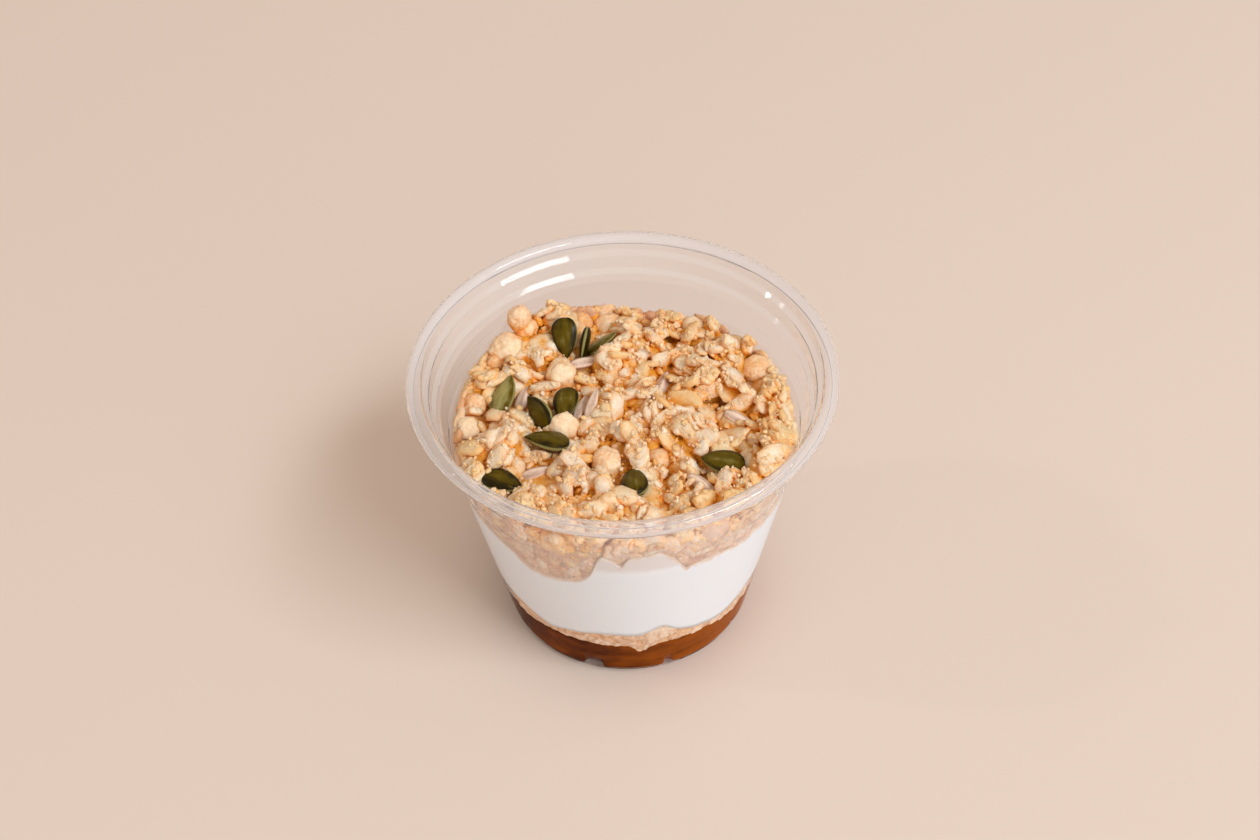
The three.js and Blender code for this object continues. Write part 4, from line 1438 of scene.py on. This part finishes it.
class MakeCaramel(PotOperator, bpy.types.Operator):
    """Makes the caramel at the bottom of the cup"""

    bl_idname = "granola_pot.make_caramel"
    bl_label = "Caramel"

    # Height from where the side follows the plain wall, and raggedness of the upper edge
    PLAIN_FROM = 6 * MM
    RAGGED = 0.35 * MM

    # Bites over the notches: height and depth beside the notches' own, raggedness, its size, least height
    BITE_HEIGHT = 1.4
    BITE_DEPTH = 2.4
    BITE_RAGGED = 0.4
    BITE_GRAIN = 3 * MM
    BITE_LEAST = 0.1 * MM

    def execute(self, context):
        """The lining's profile, drawn into the foot, carries the underside, with a bite over each notch:
        depth * sqrt(1 - z / reach), where the reach falls off beside the notch with a squared cosine. The
        side runs up the wall, and the top follows the caramel's height over radius share and azimuth."""
        azimuth = round_azimuths(FINE_STEPS)
        start = self.PLAIN_FROM
        corners = [*lining_foot(INTO_FOOT), [wall_inside(start) + INTO_WALL, start]]
        outline = rounded(corners, LINING_ROUNDING)
        turn = notch_turn(azimuth)
        size = NOTCH_SIZES[np.round(turn / (2 * np.pi)).astype(int) % NOTCHES]
        foot = upright(pot().sizes.foot_out, azimuth, 0 * azimuth)
        ragged = size + self.BITE_RAGGED * rough_noise(foot, self.BITE_GRAIN, ROWS["caramel_bites"])
        reach = self.BITE_HEIGHT * NOTCH_HEIGHT * np.maximum(0, np.cos(turn)) ** 2 * ragged
        low = np.clip(1 - outline[:, 1:] / np.maximum(reach, self.BITE_LEAST), 0, 1)
        outside = outline[:, :1] > pot().sizes.foot_in + NOTCH_DEPTH
        bite = np.where(outside, self.BITE_DEPTH * NOTCH_DEPTH * np.sqrt(low), 0)
        under = upright(outline[:, :1] - bite, azimuth, outline[:, 1:])

        def top(u, a):
            return caramel_top(u, a) + ragged_edge(u, a, self.RAGGED, ROWS["caramel_edge"])

        upper = layer_rows(lambda u, a: np.full_like(a, start), top, azimuth, 2, 12, 10)[2:]
        points, faces = closed_rows(np.concatenate([under, upper]))
        put_piece("caramel_layer", points, faces, caramel_material(), ["caramel"])
        return {"FINISHED"}


# Grains pressed to the wall: size of the finer ones beside the coarse ones, and sharpness of the seams
FINER_GRAINS = 0.45
SEAM_SHARPNESS = 2.2


def pressed(rows, sides, size, depth, row):
    """Presses grains of two sizes into the side of a layer: each bulges to the wall, and the seams, where a
    point is as near to the second grain as to the first, lie back by up to the given depth. Gives the new
    rows with each point's tone and depth from 0 to 1."""
    first, second, own = grains(rows, size, row)
    finer, finer_second, finer_own = grains(rows, size * FINER_GRAINS, row + 5)
    seam = np.clip(1 - (second - first) * SEAM_SHARPNESS, 0, 1)
    finer_seam = np.clip(1 - (finer_second - finer) * SEAM_SHARPNESS, 0, 1)
    sunk = np.clip(0.55 * seam ** 2 + 0.35 * finer_seam ** 2 + 0.4 * (own - 0.35), 0, 1)
    away = np.hypot(rows[..., 0], rows[..., 1])
    moved = drawn_by(rows, np.where(sides, 1 - depth * sunk / np.maximum(away, MM), 1))
    return moved, 0.6 * own + 0.4 * finer_own, np.clip(0.7 * seam ** 2 + 0.5 * finer_seam ** 2, 0, 1)


class MakeCrumbLayer(PotOperator, bpy.types.Operator):
    """Makes the layer of crumbs between caramel and yoghurt"""

    bl_idname = "granola_pot.make_crumb_layer"
    bl_label = "Crumb layer"

    # Rings of the underside and the top, how far the edges go behind the neighbours, grains and their relief
    RINGS = 4
    TUCK = 0.7 * MM
    GRAIN = 2.8 * MM
    RELIEF = 0.4 * MM

    # Height over the caramel where cream starts to show and over which it comes in, and share of painted
    # shade and haze of the wall
    CREAM_RISE = 3 * MM
    PAINTED_SHADE = 0.06

    def execute(self, context):
        """A layer that fills the cup, with crumbs pressed to the wall and edges just behind its neighbours.
        High up at its cream flake the grains are pale and without seams."""
        azimuth = round_azimuths(FINE_STEPS)

        def lower(u, a):
            return caramel_top(u, a) - self.TUCK * u

        def upper(u, a):
            return crumb_top(u, a) + self.TUCK * u

        rows = layer_rows(lower, upper, azimuth, self.RINGS, 30, self.RINGS)
        sides = marked_rows(rows, self.RINGS - 1, 1 - self.RINGS)
        rows, tone, depth = pressed(rows, sides, self.GRAIN, self.RELIEF, ROWS["crumb_layer"])
        high = np.clip((rows[..., 2] - caramel_top(1, azimuth)) / self.CREAM_RISE - 1, 0, 1)
        cream = high * bumps_round(CREAM_FLAKE, azimuth)
        points, faces = closed_rows(rows)
        put_piece(
            "pressed_crumbs", points, faces, pressed_material(), ["crumb_layer"],
            {"tone": of_rows(tone * (1 - cream)), "depth": of_rows(depth * (1 - cream)),
             "film": np.full(len(points), self.PAINTED_SHADE)},
        )
        return {"FINISHED"}


class MakeYoghurt(PotOperator, bpy.types.Operator):
    """Makes the yoghurt"""

    bl_idname = "granola_pot.make_yoghurt"
    bl_label = "Yoghurt"

    # Raggedness of the lower and upper edge, height over which the smear comes in, and height of the brink
    RAGGED_FOOT = 0.4 * MM
    RAGGED_EDGE = 1.1 * MM
    SMEAR_RISE = 1.5 * MM
    BRINK = 2.2 * MM

    def execute(self, context):
        """A layer that fills the cup. Its upper edge has a tongue and nicks and wavers by a rough noise where
        it has smeared up the wall, and runs out over the last stretch below its brink."""
        azimuth = round_azimuths(FINE_STEPS)

        def lower(u, a):
            return crumb_top(u, a) + ragged_edge(u, a, self.RAGGED_FOOT, ROWS["yoghurt_foot"])

        def upper(u, a):
            ragged = ragged_edge(u, a, self.RAGGED_EDGE, ROWS["yoghurt_edge"])
            return yoghurt_top(u, a) + u ** 6 * bumps_round(YOGHURT_NICKS, a) + ragged

        rows = layer_rows(lower, upper, azimuth, 5, 24, 14)
        smear = np.clip((rows[..., 2] - pot().sizes.yoghurt_top) / self.SMEAR_RISE, 0, 1)
        brink = np.clip(1 - (upper(1, azimuth) - rows[..., 2]) / self.BRINK, 0, 1)
        points, faces = closed_rows(rows)
        put_piece(
            "yoghurt_layer", points, faces, yoghurt_material(), ["yoghurt"],
            {"smear": of_rows(smear), "brink": of_rows(brink)},
        )
        return {"FINISHED"}


class MakeHeapCore(PotOperator, bpy.types.Operator):
    """Makes the core of the granola heap"""

    bl_idname = "granola_pot.make_heap_core"
    bl_label = "Heap core"

    # Rings of the underside and the top, how far it is sunk in the yoghurt, grains at the wall, their relief
    UNDER_RINGS = 4
    TOP_RINGS = 90
    TUCK = 0.8 * MM
    SIDE_GRAIN = 3.2 * MM
    SIDE_RELIEF = 0.9 * MM

    # Grains on top: size and height of coarse and fine ones, and the height on which their depth is measured
    GRAIN = 2.4 * MM
    GRAIN_HEIGHT = 1.5 * MM
    FINE = 1.1 * MM
    FINE_HEIGHT = 0.5 * MM
    DEPTH_HEIGHT = 1.6 * MM

    def execute(self, context):
        """A layer from the yoghurt to the heap's core, with grains pressed to the wall and, on top, grains of
        two sizes raised by a rounded cap each: height * (1 - distance^2)."""
        s = pot().sizes
        azimuth = round_azimuths(FINE_STEPS)

        def lower(u, a):
            return yoghurt_top(u, a) - self.TUCK

        def upper(u, a):
            at = upright(u * wall_inside(s.heap_top), a, np.zeros_like(a))
            return core_top(at[..., 0], at[..., 1])

        rows = layer_rows(lower, upper, azimuth, self.UNDER_RINGS, 34, self.TOP_RINGS)
        sides = marked_rows(rows, self.UNDER_RINGS - 1, 1 - self.TOP_RINGS)
        top = marked_rows(rows, 1 - self.TOP_RINGS, None)
        rows, tone, depth = pressed(rows, sides, self.SIDE_GRAIN, self.SIDE_RELIEF, ROWS["heap_side"])
        first, _, own = grains(rows, self.GRAIN, ROWS["core"])
        finer, _, _ = grains(rows, self.FINE, ROWS["core_fine"])
        cap = np.maximum(0, 1 - first ** 2) * self.GRAIN_HEIGHT
        cap += np.maximum(0, 1 - finer ** 2) * self.FINE_HEIGHT
        rows[..., 2] += np.where(top, cap, 0)
        # Painted shade: the hollows between the grains on top are drawn towards dark syrup
        depth = np.where(top, np.clip(1.1 - cap / self.DEPTH_HEIGHT, 0, 1), depth)
        tone = np.where(top, 0.3 + 0.7 * own, tone)
        inner = np.where(sides, 1, from_wall(rows))
        points, faces = closed_rows(rows)
        # The side takes the painted shade and haze of the wall, and the top takes it near the wall
        put_piece(
            "heap_core", points, faces, core_material(), ["granola"],
            {"tone": of_rows(tone * inner), "depth": of_rows(depth * inner),
             "film": of_rows(np.where(sides, WALL_SHADE, WALL_SHADE * (1 - inner)))},
            others=[pressed_material()], zone=of_rows(sides.astype(float)).round().astype(int),
        )
        return {"FINISHED"}


class MakeClusters(PotOperator, bpy.types.Operator):
    """Makes the baked clusters of the heap"""

    bl_idname = "granola_pot.make_clusters"
    bl_label = "Clusters"

    # Coarse form and grains: size and depth of each, stretch of the grains, and flattening of the whole
    FORM = 4.5 * MM
    FORM_DEPTH = 0.26
    GRAIN = 2.5 * MM
    GRAIN_DEPTH = 0.34
    GRAIN_STRETCH = (0.55, 1, 1)
    FLATTENING = (1.06, 0.96, 0.8)

    def execute(self, context):
        """Balls flattened a little, with a coarse rough noise for their form and rounded grains over it:
        radius * (1 + 0.26 noise + 0.34 (cap - 0.5)), where a cap is 1 - distance^2 from its grain."""
        clusters = heap()["clusters"]
        form, faces = ball(3)
        count = len(clusters)
        size = clusters[:, 3][:, None, None]
        where = form * size / 2 + np.arange(count)[:, None, None] * PATTERN_STEP
        bulge = rough_noise(where, self.FORM, ROWS["cluster_form"], 2)
        first, _, own = grains(where * self.GRAIN_STRETCH, self.GRAIN, ROWS["cluster_grains"])
        cap = np.maximum(0, 1 - first ** 2)
        radius = 0.5 * (1 + self.FORM_DEPTH * bulge + self.GRAIN_DEPTH * (cap - 0.5))
        shapes = form * radius[..., None] * size * self.FLATTENING
        turn = spin(360 * own_draws(count, ROWS["cluster_turn"]), 0, 0)
        points, faces = joined(set_down(shapes, turn, clusters[:, :3]), [faces])
        own_tone = own_draws(count, ROWS["cluster_tone"])[:, None]
        put_piece(
            "clusters", points, faces, cluster_material(), (),
            {"tone": (0.55 * own_tone + 0.45 * own).ravel() + amber(points),
             "depth": np.clip(1 - 1.3 * cap, 0, 1), "gap": gap_shade_at(points)},
        )
        return {"FINISHED"}


class MakePuffs(PotOperator, bpy.types.Operator):
    """Makes the puffed grains"""

    bl_idname = "granola_pot.make_puffs"
    bl_label = "Puffs"

    # Swellings and pits: size and depth of each, and share of the heap's painted gap shade that shows on
    # puffs
    SWELLING = 3 * MM
    SWELLING_DEPTH = 0.22
    PIT = 0.9 * MM
    PIT_DEPTH = 0.08
    GAP_SHADE = 0.5

    def execute(self, context):
        """Balls, longer one way than another, with soft swellings and pits in their skin:
        radius * (1 + 0.22 coarse + 0.08 fine)."""
        puffs = heap()["puffs"]
        form, faces = ball(4)
        count = len(puffs)
        size = puffs[:, 3][:, None, None]
        where = form * size / 2 + np.arange(count)[:, None, None] * PATTERN_STEP
        bulge = rough_noise(where, self.SWELLING, ROWS["puff_form"], 2)
        pits = rough_noise(where, self.PIT, ROWS["puff_pits"], 2)
        stretch = (0.84 + 0.28 * paired_draws(count, 3, ROWS["puff_stretch"]))[:, None, :]
        radius = 0.5 * (1 + self.SWELLING_DEPTH * bulge + self.PIT_DEPTH * pits)
        shapes = form * radius[..., None] * size * stretch
        points, faces = joined(shapes + puffs[:, None, :3], [faces])
        # Painted shade: the lower half of each puff is drawn more toasted
        depth = np.clip(0.5 - 0.7 * form[:, 2], 0, 1)
        put_piece(
            "puffed_grains", points, faces, puff_material(), (),
            {"tone": np.broadcast_to(puffs[:, 4:5], bulge.shape),
             "depth": np.broadcast_to(depth, bulge.shape), "gap": self.GAP_SHADE * gap_shade_at(points)},
        )
        return {"FINISHED"}


def oat_form():
    """A flake on rings along its length: half width sqrt(1 - s^4) at share s, a flat oval section of eight
    points, and a crease along the upper side. Gives points, faces and nearness to the edge."""
    s, t = lengthwise(6, 8)
    half = np.sqrt(1 - s ** 4)
    y = half * np.sign(np.cos(t)) * np.abs(np.cos(t)) ** 0.75
    z = half ** 0.6 * np.sin(t) - 0.16 * (np.sin(t) > 0.9) * half
    points = with_tips(s, y, z)
    edge = np.clip(np.hypot(points[:, 0], points[:, 1]) ** 4, 0, 1)
    return points, outward(points, ring_faces(5, 8)), edge


def oat_shapes(half, row):
    """Flakes of given half sizes: the form stretched, its outline uneven, curled along its length by a
    parabola and cupped across by another."""
    form, faces, edge = oat_form()
    count = len(half)
    uneven = 1 + 0.34 * (paired_draws(count, len(form), row) - 0.5)
    shapes = form * half[:, None, :] * np.stack([uneven, uneven, np.ones_like(uneven)], axis=-1)
    curl = (own_draws(count, row + 1) - 0.35)[:, None] * 0.3
    cup = (own_draws(count, row + 2) - 0.3)[:, None] * 0.3
    bend = curl * half[:, :1] * (form[:, 0] ** 2 - 0.3) + cup * half[:, 1:2] * (form[:, 1] ** 2 - 0.3)
    shapes[..., 2] += bend
    tone = np.broadcast_to(own_draws(count, row + 3)[:, None] ** 1.3, uneven.shape)
    return shapes, faces, {"tone": tone, "edge": np.broadcast_to(edge, uneven.shape)}


# How far the pieces at the wall keep from the yoghurt's edge and from the heap's outline
OVER_YOGHURT = 1.6 * MM
UNDER_OUTLINE = 1.4 * MM


def side_places(count, rng):
    """Places against the wall between the yoghurt's edge and the heap's outline, as azimuth and height."""
    azimuth = rng.uniform(0, 2 * np.pi, count)
    low = yoghurt_top(1, azimuth) + OVER_YOGHURT
    r = wall_inside(pot().sizes.heap_top)
    high = heap_top(r * np.sin(azimuth), -r * np.cos(azimuth)) - UNDER_OUTLINE
    return azimuth, low + (high - low) * rng.uniform(0, 1, count)


class MakeOats(PotOperator, bpy.types.Operator):
    """Makes the oat flakes on the heap and against the wall"""

    bl_idname = "granola_pot.make_oats"
    bl_label = "Oats"

    # Flakes at the wall: range of sizes, range of each half size, gap to the wall and range of what is
    # added to it in millimetres, and spread of their tilts in degrees
    SIZES = (0.7, 1.3)
    UNEVEN = (0.85, 1.15)
    GAP = 0.25 * MM
    FURTHER = (0, 0.4)
    TILT = 5

    def execute(self, context):
        """Curled flakes. Those on the heap lean as what is under them does. Those at the wall stand against
        it with their flat side out, each under its own share of painted shade and haze of the wall."""
        mix = pot().mix
        rng = np.random.default_rng(mix.seed + 1)
        oats = heap()["oats"]
        turn = leaning(oats[:, 3], oats[:, 4]) @ spin(oats[:, 5], oats[:, 6], oats[:, 7])
        count = mix.side_oats
        azimuth, z = side_places(count, rng)
        half = np.array([mix.oat_length, mix.oat_width, mix.oat_thickness]) / 2
        half = half * rng.uniform(*self.SIZES, (count, 1)) * rng.uniform(*self.UNEVEN, (count, 3))
        radius = wall_inside(z) - self.GAP - half[:, 2] - rng.uniform(*self.FURTHER, count) * MM
        taper = math.degrees(math.atan2(wall_inside(1.0) - wall_inside(0.0), 1.0))
        stand = spin(np.degrees(azimuth), 0, 90 - taper)
        lean = rng.uniform(0, 360, count), rng.normal(0, self.TILT, count), rng.normal(0, self.TILT, count)
        place = np.concatenate([oats[:, :3], upright(radius, azimuth, z)])
        shapes, faces, values = oat_shapes(np.concatenate([oats[:, 8:11], half]), ROWS["oats"])
        at_wall = (np.arange(len(place)) >= len(oats))[:, None]
        # Painted shade and haze of the wall, a random share for each flake at the wall
        film = 2 * WALL_SHADE * own_draws(len(place), ROWS["oat_shade"])[:, None]
        values["tone"] = values["tone"] + np.where(at_wall, 0, amber(place)[:, None])
        values["film"] = np.broadcast_to(film * at_wall, shapes.shape[:2])
        shapes = set_down(shapes, np.concatenate([turn, stand @ spin(*lean)]), place)
        values["gap"] = np.where(at_wall, 0, gap_shade_at(shapes))
        points, faces = joined(shapes, faces)
        put_piece("oat_flakes", points, faces, oat_material(), (), values)
        return {"FINISHED"}


class MakeCrumbs(PotOperator, bpy.types.Operator):
    """Makes the loose crumbs on the heap and against the wall"""

    bl_idname = "granola_pot.make_crumbs"
    bl_label = "Crumbs"

    # Crumbs at the wall: range of sizes, gap to the wall and range of what is added to it in millimetres
    SIZES = (0.6, 1.5)
    GAP = 0.2 * MM
    FURTHER = (0, 0.6)

    # Ranges of the corners' distances, of the stretch along each axis and of the tones
    CORNERS = (0.65, 1.2)
    STRETCH = (0.75, 1.25)
    TONES = (0.1, 1.0)

    def execute(self, context):
        """Icosahedra whose corners lie at uneven distances, each turned at random."""
        mix = pot().mix
        rng = np.random.default_rng(mix.seed + 2)
        crumbs = heap()["crumbs"]
        count = mix.side_crumbs
        azimuth, z = side_places(count, rng)
        size = mix.crumb * rng.uniform(*self.SIZES, count)
        radius = wall_inside(z) - self.GAP - size / 2 - rng.uniform(*self.FURTHER, count) * MM
        place = np.concatenate([crumbs[:, :3], upright(radius, azimuth, z)])
        size = np.concatenate([crumbs[:, 3], size])
        form, faces = ball(0)
        shapes = form * rng.uniform(*self.CORNERS, (len(size), len(form), 1)) * size[:, None, None] / 2
        shapes = shapes * rng.uniform(*self.STRETCH, (len(size), 1, 3))
        turn = spin(*rng.uniform(0, 360, (3, len(size))))
        points, faces = joined(set_down(shapes, turn, place), [faces])
        at_wall = np.repeat(np.arange(len(size)) >= len(crumbs), len(form))
        # Crumbs at the wall take the painted shade and haze of the wall; those on the heap take painted gap
        # shade
        values = {
            "tone": np.repeat(rng.uniform(*self.TONES, len(size)), len(form)) + amber(points),
            "film": WALL_SHADE * at_wall, "gap": np.where(at_wall, 0, gap_shade_at(points)),
        }
        put_piece("loose_crumbs", points, faces, crumb_material(), (), values, smooth=False)
        return {"FINISHED"}


class MakeSunflowerSeeds(PotOperator, bpy.types.Operator):
    """Makes the sunflower seeds"""

    bl_idname = "granola_pot.make_sunflower_seeds"
    bl_label = "Sunflower seeds"

    # Steps along and round a seed, how it narrows to one end, its four ridges, and sizes beside its length
    STEPS = 13
    AROUND = 14
    NARROWING = 0.3
    RIDGE = 0.06
    SIZES = np.array([1, 0.36, 0.3])

    def execute(self, context):
        """Slim drops on rings along their length: half width sqrt(1 - s^2) (1 - 0.3 s) at share s, with low
        ridges that follow a cosine round the seed."""
        beds = heap()["sunflower"]
        s, t = lengthwise(self.STEPS, self.AROUND)
        half = np.sqrt(1 - s * s) * (1 - self.NARROWING * s)
        ridge = 1 + self.RIDGE * np.cos(4 * t)
        form = with_tips(s, half * np.cos(t) * ridge, half * np.sin(t) * ridge)
        faces = outward(form, ring_faces(self.STEPS - 1, self.AROUND))
        half_size = pot().mix.sunflower_length / 2 * self.SIZES
        shapes = np.broadcast_to(form * half_size, (len(beds), *form.shape))
        turn = leaning(beds[:, 3], beds[:, 4]) @ spin(beds[:, 5], 0, 0)
        points, faces = joined(set_down(shapes, turn, beds[:, :3]), faces)
        tone = own_draws(len(beds), ROWS["sunflower"])[:, None]
        streaks = of_rings(np.broadcast_to(0.5 + 0.5 * np.cos(5 * t), half.shape[:1] + t.shape), 0.5)
        put_piece(
            "sunflower_seeds", points, faces, sunflower_material(), (),
            {"tone": np.broadcast_to(tone, shapes.shape[:2]),
             "edge": np.broadcast_to(streaks, shapes.shape[:2])},
        )
        return {"FINISHED"}


class MakePumpkinSeeds(PotOperator, bpy.types.Operator):
    """Makes the pumpkin seeds"""

    bl_idname = "granola_pot.make_pumpkin_seeds"
    bl_label = "Pumpkin seeds"

    # Steps along and round a seed, how it narrows to one end, and where and how far its tip narrows further
    STEPS = 40
    AROUND = 48
    POINT = 0.36
    TIP_FROM = 0.55
    TIP_NARROWING = 0.6

    # Groove beside the rim, as share of the half width, half width and depth, and so for the middle ridge
    GROOVE = (0.9, 0.06, 0.16)
    RIDGE = (0, 0.18, 0.05)

    # Width and strength of the pale rim, depth and size of the form's waver, and stretch, size and strength
    # of the streaks
    RIM_WIDTH = 0.025
    RIM_STRENGTH = 0.7
    WAVER = 0.05
    WAVER_SIZE = 0.9
    STREAK_STRETCH = (0.6, 3.2, 1.6)
    STREAK_SIZE = 0.6
    STREAKS = 0.4

    def execute(self, context):
        """Flat drops that narrow to a point: at share s along the seed half width sqrt(1 - s^2) (1 - 0.36 s),
        less near the tip, with a groove beside the thin rim where the two faces meet and a low ridge along
        each."""
        s, t = lengthwise(self.STEPS, self.AROUND)
        tip = np.clip((s - self.TIP_FROM) / (1 - self.TIP_FROM), 0, 1)
        half = np.sqrt(1 - s * s) * (1 - self.POINT * s) * (1 - self.TIP_NARROWING * tip * tip)
        side = np.abs(np.cos(t))
        y = half * np.sign(np.cos(t)) * side ** 0.9
        thick = np.sign(np.sin(t)) * np.abs(np.sin(t)) ** 0.8
        groove, ridge = (
            depth * np.exp(-((side - middle) / width) ** 2)
            for middle, width, depth in (self.GROOVE, self.RIDGE)
        )
        form = with_tips(s, y, half ** 0.8 * thick * (1 - groove + ridge))
        faces = outward(form, ring_faces(self.STEPS - 1, self.AROUND))
        rim = of_rings(np.broadcast_to(np.exp(-((1 - side) / self.RIM_WIDTH) ** 2), y.shape), 1)
        bands = of_rings(0.85 - 0.75 * side ** 2 - 0.25 * s * s, 0.3)
        for k, (place, turn, size) in enumerate(zip(*pumpkin_places())):
            waver = 1 + self.WAVER * soft_noise(form + k * 7.3, self.WAVER_SIZE, ROWS["pumpkin_form"])
            points = (form * waver[:, None] * size / 2) @ turn.T + place
            where = form * self.STREAK_STRETCH + k * 5.7
            streak = bands + self.STREAKS * rough_noise(where, self.STREAK_SIZE, ROWS["pumpkin_streaks"], 2)
            streak += 0.7 * (PUMPKIN_SEEDS[k, 7] - 0.4)
            put_piece(
                f"pumpkin_seed_skin_{k + 1}", points, faces, pumpkin_material(),
                [f"pumpkin_seed_{k + 1}"], {"rim": self.RIM_STRENGTH * rim, "streak": streak},
            )
        return {"FINISHED"}


def look_along(place, pan, tilt, roll):
    """Matrix of a camera at a place, from pan, tilt down and roll in degrees: it looks along
    (sin pan cos tilt, cos pan cos tilt, -sin tilt), and roll turns its right and up about that."""
    pan, tilt, roll = (math.radians(angle) for angle in (pan, tilt, roll))
    ahead = np.array([math.sin(pan) * math.cos(tilt), math.cos(pan) * math.cos(tilt), -math.sin(tilt)])
    right = np.array([math.cos(pan), -math.sin(pan), 0])
    up = np.cross(right, ahead)
    rolled_right = math.cos(roll) * right + math.sin(roll) * up
    rolled_up = math.cos(roll) * up - math.sin(roll) * right
    matrix = np.eye(4)
    matrix[:3, :3] = np.stack([rolled_right, rolled_up, -ahead], axis=1)
    matrix[:3, 3] = place
    return Matrix(matrix.tolist())


class MakeStage(PotOperator, bpy.types.Operator):
    """Makes the floor, the light and the camera"""

    bl_idname = "granola_pot.make_stage"
    bl_label = "Stage"

    # Directions of the lamps from the cup, their sizes where the settings don't give them, and their distance
    WINDOW_DIRECTION = (0.556, -0.427, 0.713)
    FAR_WINDOW_DIRECTION = (-0.83, 0.03, 0.55)
    FAR_WINDOW_SIZE = (0.09, 0.16)
    FRONT_DIRECTION = (0.42, -0.85, 0.36)
    FRONT_SIZE = (2.8, 1.4)
    LAMP_DISTANCE = 2.4
    FLOOR_HALF = 3.0

    def execute(self, context):
        """A level floor, a wide soft lamp, a small far one, a low one in front, soft light all round and the
        photo's camera."""
        stage = pot().stage
        size = (stage.window_width, stage.window_height)
        self.make_floor(context)
        window = self.make_lamp(context, "window", self.WINDOW_DIRECTION, size, stage.window_power)
        window.data.color = stage.window_colour
        self.make_lamp(
            context, "far_window", self.FAR_WINDOW_DIRECTION, self.FAR_WINDOW_SIZE, stage.spot_power,
        )
        front = self.make_lamp(
            context, "front_window", self.FRONT_DIRECTION, self.FRONT_SIZE, stage.front_power,
        )
        front.data.color = stage.front_colour
        self.make_air(context)
        self.make_camera(context)
        return {"FINISHED"}

    def make_floor(self, context):
        """A square floor at the height that the cup stands on."""
        half = self.FLOOR_HALF
        corners = [(-half, -half, 0), (half, -half, 0), (half, half, 0), (-half, half, 0)]
        mesh = bpy.data.meshes.new("floor")
        mesh.from_pydata(corners, [], [(0, 1, 2, 3)])
        mesh.materials.append(floor_material())
        floor = bpy.data.objects.new("floor", mesh)
        context.scene.collection.objects.link(floor)

    def make_lamp(self, context, name, direction, size, power):
        """A rectangular lamp in a direction from the cup, turned to face it."""
        lamp = bpy.data.lights.new(name, "AREA")
        lamp.shape = "RECTANGLE"
        lamp.size, lamp.size_y = size
        lamp.energy = power
        place = np.array(direction) / np.linalg.norm(direction) * self.LAMP_DISTANCE
        tilt = math.degrees(math.asin(place[2] / self.LAMP_DISTANCE))
        pan = math.degrees(math.atan2(-place[0], -place[1]))
        item = bpy.data.objects.new(name, lamp)
        item.matrix_world = look_along(place, pan, tilt, 0)
        context.scene.collection.objects.link(item)
        return item

    def make_air(self, context):
        """Even soft light from all round."""
        stage = pot().stage
        world = bpy.data.worlds.new("air")
        world.use_nodes = True
        background = world.node_tree.nodes["Background"]
        background.inputs["Color"].default_value = rgba(stage.air)
        background.inputs["Strength"].default_value = stage.air_strength
        context.scene.world = world
        context.scene.view_settings.view_transform = "Standard"

    def make_camera(self, context):
        """The camera at the photo's place and angle."""
        camera = bpy.data.cameras.new("camera")
        camera.lens = pot().stage.lens
        camera.sensor_width = SENSOR_WIDTH
        item = bpy.data.objects.new("camera", camera)
        item.matrix_world = look_along(CAMERA_PLACE, CAMERA_PAN, CAMERA_TILT, CAMERA_ROLL)
        context.scene.collection.objects.link(item)
        context.scene.camera = item


OPERATORS = (
    MakeStage, MakeCup, MakeCaramel, MakeCrumbLayer, MakeYoghurt, MakeHeapCore, MakeClusters, MakePuffs,
    MakeOats, MakeCrumbs, MakeSunflowerSeeds, MakePumpkinSeeds,
)


class GranolaPotPanel(bpy.types.Panel):
    """Lists the pieces of the granola pot"""

    bl_idname = "VIEW3D_PT_granola_pot"
    bl_label = "Granola pot"
    bl_space_type = "VIEW_3D"
    bl_region_type = "UI"
    bl_category = "Granola pot"

    def draw(self, context):
        """One button for each piece."""
        for operator in OPERATORS:
            self.layout.operator(operator.bl_idname)


CLASSES = (PotSizes, GranolaMix, PotColours, StageSettings, PotSettings, *OPERATORS, GranolaPotPanel)


def register():
    """Registers the classes and the scene's settings."""
    for item in CLASSES:
        bpy.utils.register_class(item)
    bpy.types.Scene.granola_pot = PointerProperty(type=PotSettings)


def unregister():
    """Takes the settings and the classes away again."""
    del bpy.types.Scene.granola_pot
    for item in reversed(CLASSES):
        bpy.utils.unregister_class(item)


def main():
    """Makes the stage and every piece."""
    register()
    for operator in OPERATORS:
        group, name = operator.bl_idname.split(".")
        getattr(getattr(bpy.ops, group), name)()


if __name__ == "__main__":
    main()
